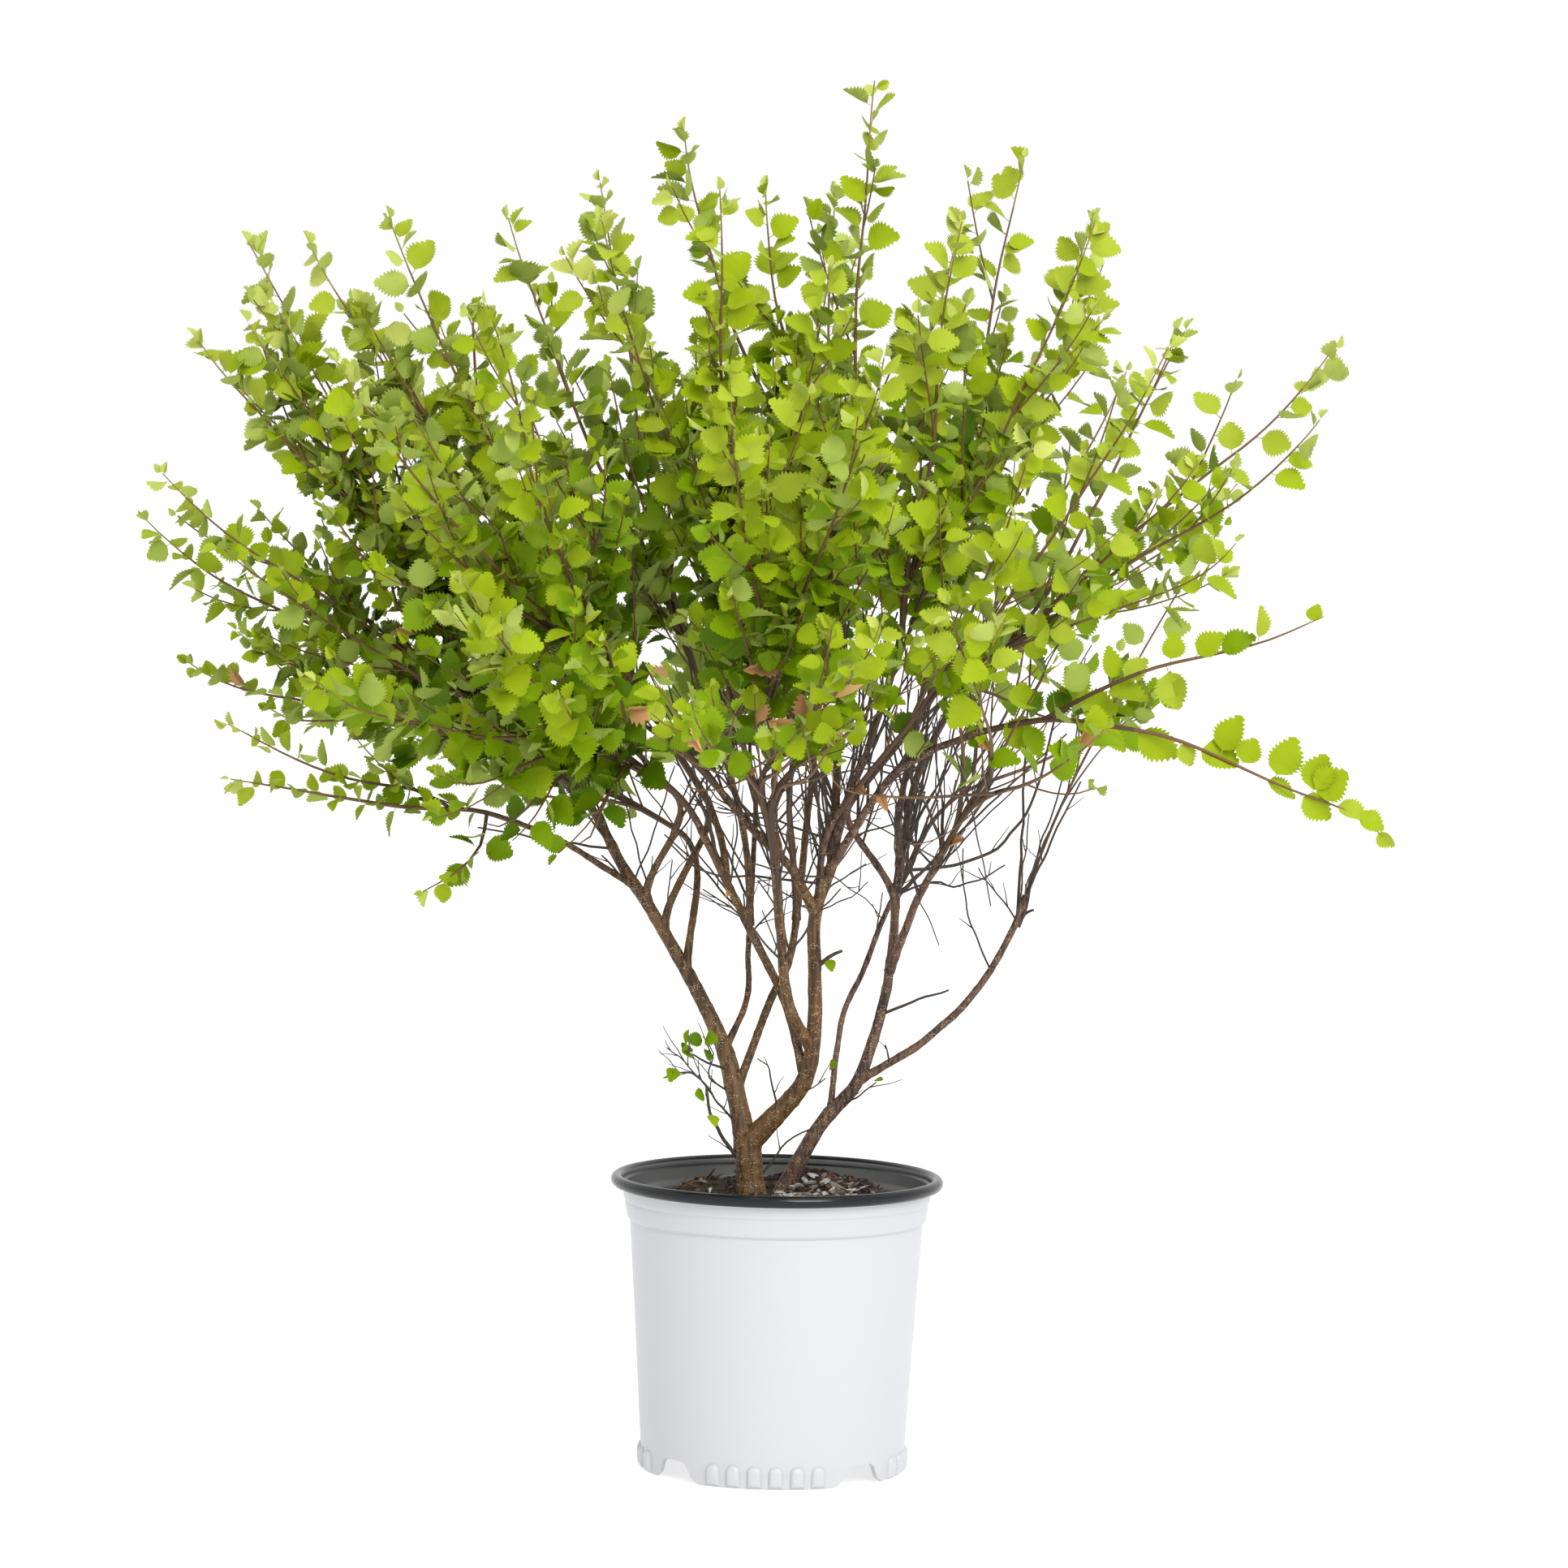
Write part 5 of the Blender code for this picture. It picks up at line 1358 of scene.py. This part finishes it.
# Operators
class SHRUB_OT_pot(bpy.types.Operator):
    """Builds the pot with its rolled rim, feet and ribs"""

    bl_idname = "shrub.pot"
    bl_label = "Pot"

    def outline(self):
        outer = [
            (PAD_RADIUS, 0.0),
            (PAD_RADIUS, FLOOR_UNDER),
            (body_radius(FLOOR_UNDER) - SKIRT_WALL, FLOOR_UNDER),
            (FOOT_RADIUS - SKIRT_WALL, 0.0),
            (FOOT_RADIUS, 0.0),
            *((body_radius(height), height) for height in BODY_MARKS),
            (BODY_TOP_RADIUS, STEP_HEIGHT - STEP_DROP - 0.0014),
            (BODY_TOP_RADIUS - GROOVE, STEP_HEIGHT - STEP_DROP + 0.0006),
            (COLLAR_RADIUS - COLLAR_DRAFT, STEP_HEIGHT),
            (COLLAR_RADIUS + COLLAR_DRAFT, COLLAR_TOP - 0.004),
            (COLLAR_RADIUS + COLLAR_DRAFT - GROOVE, COLLAR_TOP - 0.0028),
            (COLLAR_RADIUS + 0.0018, COLLAR_TOP - 0.0014),
            (COLLAR_RADIUS + 0.0022, LIP_HEIGHT),
        ]
        bead = []
        for turn in map(math.radians, BEAD_MARKS):
            bead.append((
                RIM_RADIUS - BEAD_RADIUS + BEAD_RADIUS * math.cos(turn),
                RIM_TOP - BEAD_RADIUS + BEAD_RADIUS * math.sin(turn),
            ))
        inner = [
            (COLLAR_RADIUS + COLLAR_DRAFT, LIP_HEIGHT + 0.003),
            (COLLAR_RADIUS, COLLAR_TOP),
            (COLLAR_RADIUS - COLLAR_WALL, COLLAR_TOP - LEDGE_DROP),
            (COLLAR_RADIUS - COLLAR_WALL - 0.0004, STEP_HEIGHT + 0.003),
            (BODY_TOP_RADIUS - BODY_WALL, STEP_HEIGHT - STEP_DROP),
            (body_radius(FLOOR_TOP) - BODY_WALL, FLOOR_TOP),
        ]
        return eased(outer, EASE)[1:] + bead + eased(inner, EASE)

    def make_ribs(self):
        """The ribs on the feet, each a bar with a round top and eased front edges."""
        deselect()
        middle = (RIB_TOP + RIB_BOTTOM) / 2
        depth = RIB_PROUD + RIB_DEPTH
        reach = body_radius(middle) + RIB_PROUD - depth / 2
        bpy.ops.mesh.primitive_cube_add(
            size=1, location=(0.0, -reach, middle), rotation=(math.atan(SLOPE), 0.0, 0.0),
            scale=(RIB_WIDTH, depth, RIB_TOP - RIB_BOTTOM),
        )
        rib = begin("rib")
        bpy.ops.mesh.select_mode(type="EDGE")

        def top_corner(edge):
            start, end = (vertex.co for vertex in edge.verts)
            return min(start.z, end.z) > middle and abs(start.x - end.x) < 1e-6

        def front_outline(edge):
            facing = [face.normal.y for face in edge.link_faces]
            return min(facing) < -0.9 < max(facing)

        for chosen, offset, segments in ((top_corner, RIB_ROUND, 6), (front_outline, RIB_EASE, 4)):
            bpy.ops.mesh.select_all(action="DESELECT")
            mesh = bmesh.from_edit_mesh(rib.data)
            for edge in mesh.edges:
                edge.select_set(chosen(edge))
            bmesh.update_edit_mesh(rib.data)
            bpy.ops.mesh.bevel(offset=offset, segments=segments)
        bpy.ops.mesh.select_mode(type="VERT")
        close()
        middle_rib = (RIBS_PER_FOOT - 1) / 2
        return joined(copies_round(rib, [
            FOOT_TURN + math.tau * foot / FOOT_COUNT + RIB_PITCH * (i - middle_rib)
            for foot in range(FOOT_COUNT) for i in range(RIBS_PER_FOOT)
        ]))

    def make_arches(self):
        """Cutters of the arches: an outline that widens down to the ground, drawn through the wall."""
        deselect()
        outline = ARCH_HALF + [(-across, height) for across, height in reversed(ARCH_HALF[1:])]
        bpy.ops.mesh.primitive_circle_add(
            vertices=len(outline), radius=1.0, location=(0.0, -ARCH_NEAR, 0.0), fill_type="NGON"
        )
        arch = begin("arch")
        mesh = bmesh.from_edit_mesh(arch.data)
        for vertex, (across, height) in zip(mesh.verts, outline):
            vertex.co = (across, -ARCH_NEAR, height)
        bmesh.update_edit_mesh(arch.data)
        reach = {"value": (0.0, ARCH_NEAR - ARCH_FAR, 0.0)}
        bpy.ops.mesh.extrude_region_move(TRANSFORM_OT_translate=reach)
        bpy.ops.mesh.select_all(action="SELECT")
        bpy.ops.mesh.normals_make_consistent(inside=False)
        close()
        turns = [FOOT_TURN + math.tau * (foot + 0.5) / FOOT_COUNT for foot in range(FOOT_COUNT)]
        return joined(copies_round(arch, turns))

    def execute(self, context):
        settings = context.scene.shrub_pot
        pot = turned("pot_shell", self.outline(), POT_SIDES)
        for other, operation in ((self.make_ribs(), "UNION"), (self.make_arches(), "DIFFERENCE")):
            apply_modifier(pot, "BOOLEAN", object=other, operation=operation, solver="EXACT")
            bpy.data.objects.remove(other)
        set_materials(pot, [
            moulded_finish("pot_white", settings.body, 0.36),
            moulded_finish("pot_rim", settings.rim, 0.2, Specular_IOR_Level=0.34),
            inside_finish(settings.inside, settings.painted_inside_shade),
        ])
        bead_foot = RIM_TOP - 2 * BEAD_RADIUS
        bead_inside = RIM_RADIUS - 2 * BEAD_RADIUS - 0.001
        for face in pot.data.polygons:
            x, y, z = face.center
            out = math.hypot(x, y)
            faces_out = (face.normal.x * x + face.normal.y * y) / max(out, 1e-6)
            if z > bead_foot and out > bead_inside and faces_out > -0.9:
                face.material_index = 1
            elif z > FLOOR_TOP - 0.001 and faces_out < 0.2:
                face.material_index = 2
        smooth_shaded(pot, 35)
        hand_over(pot, "pot", "pot")
        return {"FINISHED"}


class SHRUB_OT_soil(bpy.types.Operator):
    """Builds the bark mix in the pot, with its crumbs, shreds and pale flakes"""

    bl_idname = "shrub.soil"
    bl_label = "Soil"

    def surface(self, radius, x, y):
        """Height of the mix: a low mound with heaps, a hollow, lumps and a sunken edge."""
        share = min(1.0, max(0.0, (radius - SOIL_FLAT_RADIUS) / (SOIL_RADIUS - SOIL_FLAT_RADIUS)))
        height = SOIL_TOP + (SOIL_EDGE - SOIL_TOP) * share**1.6
        for place, wide, rise in SOIL_SWELLS:
            height += rise * math.exp(-((math.dist((x, y), place) / wide) ** 2))
        lump = sum(noise.noise(Vector((x, y, layer)) * scale) * rise for layer, scale, rise in SOIL_LUMPS)
        return height + lump * (1 - 0.6 * share)

    def make_mix(self):
        def wall(height):
            return body_radius(height) - BODY_WALL - SOIL_GAP

        rings = [(SOIL_RADIUS * (1 - i / SOIL_RINGS) * 0.985, SOIL_EDGE) for i in range(1, SOIL_RINGS)]
        profile = [(wall(height), height) for height in (0.0204, 0.1, SOIL_EDGE)] + rings
        soil = turned("bark_mix", profile, POT_SIDES)
        for vertex in soil.data.vertices:
            if vertex.co.z > SOIL_EDGE - 0.001 and vertex.co.xy.length < wall(SOIL_EDGE) - 0.0005:
                vertex.co.z = self.surface(vertex.co.xy.length, vertex.co.x, vertex.co.y)
        smooth_shaded(soil, 60)
        return soil

    def make_bits(self, bit_scale):
        """The loose bits as one batch: rough grains stretched to their sizes and laid on the mix."""
        dice = random.Random(SEED)
        bits = Batch()
        deselect()
        bpy.ops.mesh.primitive_ico_sphere_add(subdivisions=2, radius=0.5)
        grain = bpy.context.object
        grain_points = np.array([v.co for v in grain.data.vertices])
        grain_faces = [list(face.vertices) for face in grain.data.polygons]
        bpy.data.objects.remove(grain)
        planned = [bit for bit in SOIL_BITS for _ in range(bit[0])]
        for i, (_, shortest, longest, breadth, height, shades, middle, spread) in enumerate(planned):
            away = spread * math.sqrt(dice.random())
            turn = dice.uniform(0, math.tau)
            x, y = middle[0] + away * math.cos(turn), middle[1] + away * math.sin(turn)
            length = dice.uniform(shortest, longest) * bit_scale
            across, up = (length * part * dice.uniform(0.7, 1.3) for part in (breadth, height))
            shade = dice.choice(shades)
            tilt, lean = (Matrix.Rotation(dice.gauss(0, 0.35), 3, axis) for axis in "XY")
            spin = np.array(Matrix.Rotation(dice.uniform(0, math.tau), 3, "Z") @ tilt @ lean)
            layer = Vector((i, 0, 0))
            rough = np.array([1 + 0.45 * noise.noise(Vector(p) * 2.6 + layer) for p in grain_points])
            placed = (grain_points * rough[:, None] * (length, across, up)) @ spin.T
            placed += (x, y, self.surface(math.hypot(x, y), x, y) + up * 0.25)
            bits.add(placed, grain_faces, [shade] * len(grain_faces))
        return bits

    def execute(self, context):
        settings = context.scene.shrub_soil
        soil = self.make_mix()
        set_materials(soil, [peat_finish(settings.peat, settings.dark_shred)])
        hand_over(soil, "soil", "soil")
        chips = self.make_bits(settings.bit_scale).piece("bark_chips", [
            plain_finish("shred", settings.shred, 0.9),
            plain_finish("dark_shred", settings.dark_shred, 0.9),
            plain_finish("flake", settings.flake, 0.9),
            plain_finish("pale_flake", settings.pale_flake, 0.85),
        ], 45)
        hand_over(chips, "soil")
        return {"FINISHED"}


class SHRUB_OT_limbs(bpy.types.Operator):
    """Builds the stems and boughs with the relief of their bark"""

    bl_idname = "shrub.limbs"
    bl_label = "Stems and boughs"

    def execute(self, context):
        settings = context.scene.shrub_bark
        barks = {
            "brown_bark": bark_finish("brown_bark", settings.brown, settings.brown_shade, settings.pore),
            "dark_bark": bark_finish("dark_bark", settings.dark, settings.dark_shade, settings.pore),
        }
        textures = []
        for name, scale in (("bark_lumps", 0.011), ("bark_ridges", 0.0035)):
            texture = bpy.data.textures.new(name, "CLOUDS")
            texture.noise_scale = scale
            texture.noise_depth = 2
            textures.append(texture)
        limbs = plan_limbs()
        for name in limbs:
            piece = make_limb(name, limbs, settings.sides, settings.relief, textures)
            slot = "dark_bark" if "right" in name else "brown_bark"
            set_materials(piece, [barks[slot]])
            hand_over(piece, slot, name)
        return {"FINISHED"}


class SHRUB_OT_foliage(bpy.types.Operator):
    """Grows the twigs and leaves of every mass"""

    bl_idname = "shrub.foliage"
    bl_label = "Foliage"

    def execute(self, context):
        settings = context.scene.shrub_foliage
        finishes = leaf_finishes(settings)
        twig_finishes = [
            plain_finish("twig_" + age, getattr(settings, age + "_twig"), roughness)
            for age, roughness in TWIG_ROUGHNESS.items()
        ]
        limbs = plan_limbs()
        space = Space(limbs)
        templates = leaf_templates()
        for number, (name, mass) in enumerate(MASSES.items()):
            dice = random.Random(SEED * 100 + number)
            leaders = leading_shoots(mass, limbs, dice)
            branches = list(leaders)
            apart = settings.twig_spacing * mass.apart
            usual = settings.twig_length
            for leader in leaders:
                twigs = side_twigs(leader, 1, usual, apart, space, dice)
                branches += twigs
                for twig in twigs:
                    branches += side_twigs(twig, 2, usual * SECOND_LENGTH, apart, space, dice)
            length = settings.leaf_length * mass.leaf
            spacing = settings.leaf_spacing * mass.spacing
            leaves = []
            for branch in branches:
                leaves += leaves_of(branch, mass, spacing, length, space, dice)
            if name == "foliage_far_right":
                leaves = [leaf for leaf in leaves if leaf.root.x < PLACED_FROM]
                leaves += [placed_leaf(place, leaders, dice) for place in PLACED_LEAVES]
            twigs_piece = tube_batch(branches, TWIG_SIDES).piece(name + "_twigs", twig_finishes, 80)
            leaves_piece = leaf_batch(leaves, templates, dice).piece(name + "_leaves", finishes, 55)
            for piece in (twigs_piece, leaves_piece):
                hand_over(piece, "foliage", name)
        return {"FINISHED"}


class SHRUB_OT_bare_twigs(bpy.types.Operator):
    """Builds the dead twigs, stubs and small sprigs under the crown, and the withered leaves"""

    bl_idname = "shrub.bare_twigs"
    bl_label = "Bare twigs"

    def plan(self, limbs, dice):
        """Points, diameter and number of twiglets of each twig: those listed, then dead ones."""
        planned = [([Vector(p) for p in points], *rest) for points, *rest in BARE_TWIGS]
        for rows, turn, rise, reaches, highest in DEAD_GROWTH:
            for name, count, first, last in rows:
                for _ in range(count):
                    foot, along = at_share(limbs[name].route, dice.uniform(first, last))
                    heading = (along + stray(dice, turn) + UP * rise).normalized()
                    end = foot + heading * dice.uniform(*reaches)
                    if end.z < highest and in_box(end, 0.01):
                        points = [foot, foot.lerp(end, 0.5) + stray(dice, 0.004), end]
                        planned.append((points, dice.uniform(*DEAD_DIAMETERS), dice.randrange(3)))
        return planned

    def execute(self, context):
        settings = context.scene.shrub_foliage
        dice = random.Random(SEED)
        limbs = plan_limbs()
        branches = []
        for points, diameter, twiglets in self.plan(limbs, dice):
            route = wandering(smooth_route(points, 0.006), *DEAD_STRAY)
            radii = radii_along(route, (diameter, diameter * 0.45 + 0.0003))
            branches.append(Branch(route, radii, 0, 0, 0))
            for n in range(twiglets):
                foot, along = at_share(route, (n + dice.uniform(0.4, 0.9)) / (twiglets + 0.2))
                side = along.orthogonal().normalized()
                side.rotate(Matrix.Rotation(dice.uniform(0, math.tau), 3, along))
                reach = dice.uniform(*TWIGLET_REACH)
                end = foot + (along * 0.8 + side * 0.7) * reach + UP * reach * 0.3
                way = wandering(smooth_route([foot, foot.lerp(end, 0.5), end], 0.003), *TWIGLET_STRAY)
                branches.append(Branch(way, radii_along(way, TWIGLET_DIAMETERS), 1, 0, 0))
        bare = plain_finish("twig_bare", settings.bare_twig, 0.75)
        twigs = tube_batch(branches, TWIG_SIDES).piece("bare_twigs", [bare, bare, bare], 80)
        hand_over(twigs, "dark_bark")

        sprigs = [point for branch in branches[:len(BARE_TWIGS) * 3] for point in branch.route]
        bark = [point for limb in limbs.values() for point in limb.route]
        leaves = []
        for spot in SPRIG_LEAVES:
            size = SPRIG_LEAF if spot[0] < 0 else SMALL_SPRIG_LEAF
            leaves.append(leaf_near(spot, sprigs, size, "grown", dice))
        for spot in WITHERED_LEAVES:
            leaves.append(leaf_near(spot, bark, WITHERED_LEAF, "withered", dice))
        batch = leaf_batch(leaves, leaf_templates(), dice)
        hand_over(batch.piece("sprig_leaves", leaf_finishes(settings), 55), "foliage")
        return {"FINISHED"}


class SHRUB_OT_stage(bpy.types.Operator):
    """Builds the pale floor, the soft light and the camera"""

    bl_idname = "shrub.stage"
    bl_label = "Stage"

    def execute(self, context):
        settings = context.scene.shrub_stage
        deselect()
        bpy.ops.mesh.primitive_plane_add(size=60.0)
        floor = bpy.context.object
        floor.name = "floor"
        set_materials(floor, [plain_finish(
            "floor", settings.floor, 0.9, Emission_Color=WHITE, Emission_Strength=settings.floor_glow
        )])

        world = bpy.data.worlds.new("studio")
        world.use_nodes = True
        background = world.node_tree.nodes["Background"]
        background.inputs["Color"].default_value = (*WHITE, 1.0)
        background.inputs["Strength"].default_value = settings.sky
        context.scene.world = world
        for name, place, size, share in LIGHTS:
            towards = (LIGHT_AIM - Vector(place)).to_track_quat("-Z", "Y")
            bpy.ops.object.light_add(type="AREA", radius=size, location=place, rotation=towards.to_euler())
            light = bpy.context.object
            light.name = name
            light.data.energy = settings.key * share
            light.data.size = size

        place = Vector((0.0, -settings.distance, settings.height))
        turn = (CAMERA_AIM - place).to_track_quat("-Z", "Y") @ Quaternion((0.0, 0.0, 1.0), settings.roll)
        bpy.ops.object.camera_add(location=place, rotation=turn.to_euler())
        camera = bpy.context.object
        camera.data.lens = settings.lens
        camera.data.clip_end = 100.0
        context.scene.camera = camera
        context.scene.view_settings.view_transform = "Standard"
        return {"FINISHED"}


class SHRUB_PT_panel(bpy.types.Panel):
    """Lists the operators of the shrub with their settings"""

    bl_idname = "SHRUB_PT_panel"
    bl_label = "Potted dwarf birch"
    bl_space_type = "VIEW_3D"
    bl_region_type = "UI"
    bl_category = "Shrub"

    def draw(self, context):
        for name, settings, _, operators in GROUPS:
            box = self.layout.box()
            box.label(text=name)
            group = getattr(context.scene, settings)
            for key in group.bl_rna.properties.keys():
                if key not in ("name", "rna_type"):
                    box.prop(group, key)
            for operator in operators:
                box.operator(operator)


# Label, property and settings of each group, and its operators
GROUPS = (
    ("Pot", "shrub_pot", PotSettings, ("shrub.pot",)),
    ("Soil", "shrub_soil", SoilSettings, ("shrub.soil",)),
    ("Bark", "shrub_bark", BarkSettings, ("shrub.limbs",)),
    ("Foliage", "shrub_foliage", FoliageSettings, ("shrub.foliage", "shrub.bare_twigs")),
    ("Stage", "shrub_stage", StageSettings, ("shrub.stage",)),
)
CLASSES = (
    SHRUB_OT_pot, SHRUB_OT_soil, SHRUB_OT_limbs, SHRUB_OT_foliage, SHRUB_OT_bare_twigs, SHRUB_OT_stage,
    SHRUB_PT_panel,
)


def register():
    for _, name, group, _ in GROUPS:
        bpy.utils.register_class(group)
        setattr(bpy.types.Scene, name, PointerProperty(type=group))
    for made in CLASSES:
        bpy.utils.register_class(made)


def unregister():
    for made in reversed(CLASSES):
        bpy.utils.unregister_class(made)
    for _, name, group, _ in GROUPS:
        delattr(bpy.types.Scene, name)
        bpy.utils.unregister_class(group)


def main():
    register()
    bpy.ops.shrub.stage()
    bpy.ops.shrub.pot()
    bpy.ops.shrub.soil()
    bpy.ops.shrub.limbs()
    bpy.ops.shrub.foliage()
    bpy.ops.shrub.bare_twigs()


if __name__ == "__main__":
    main()
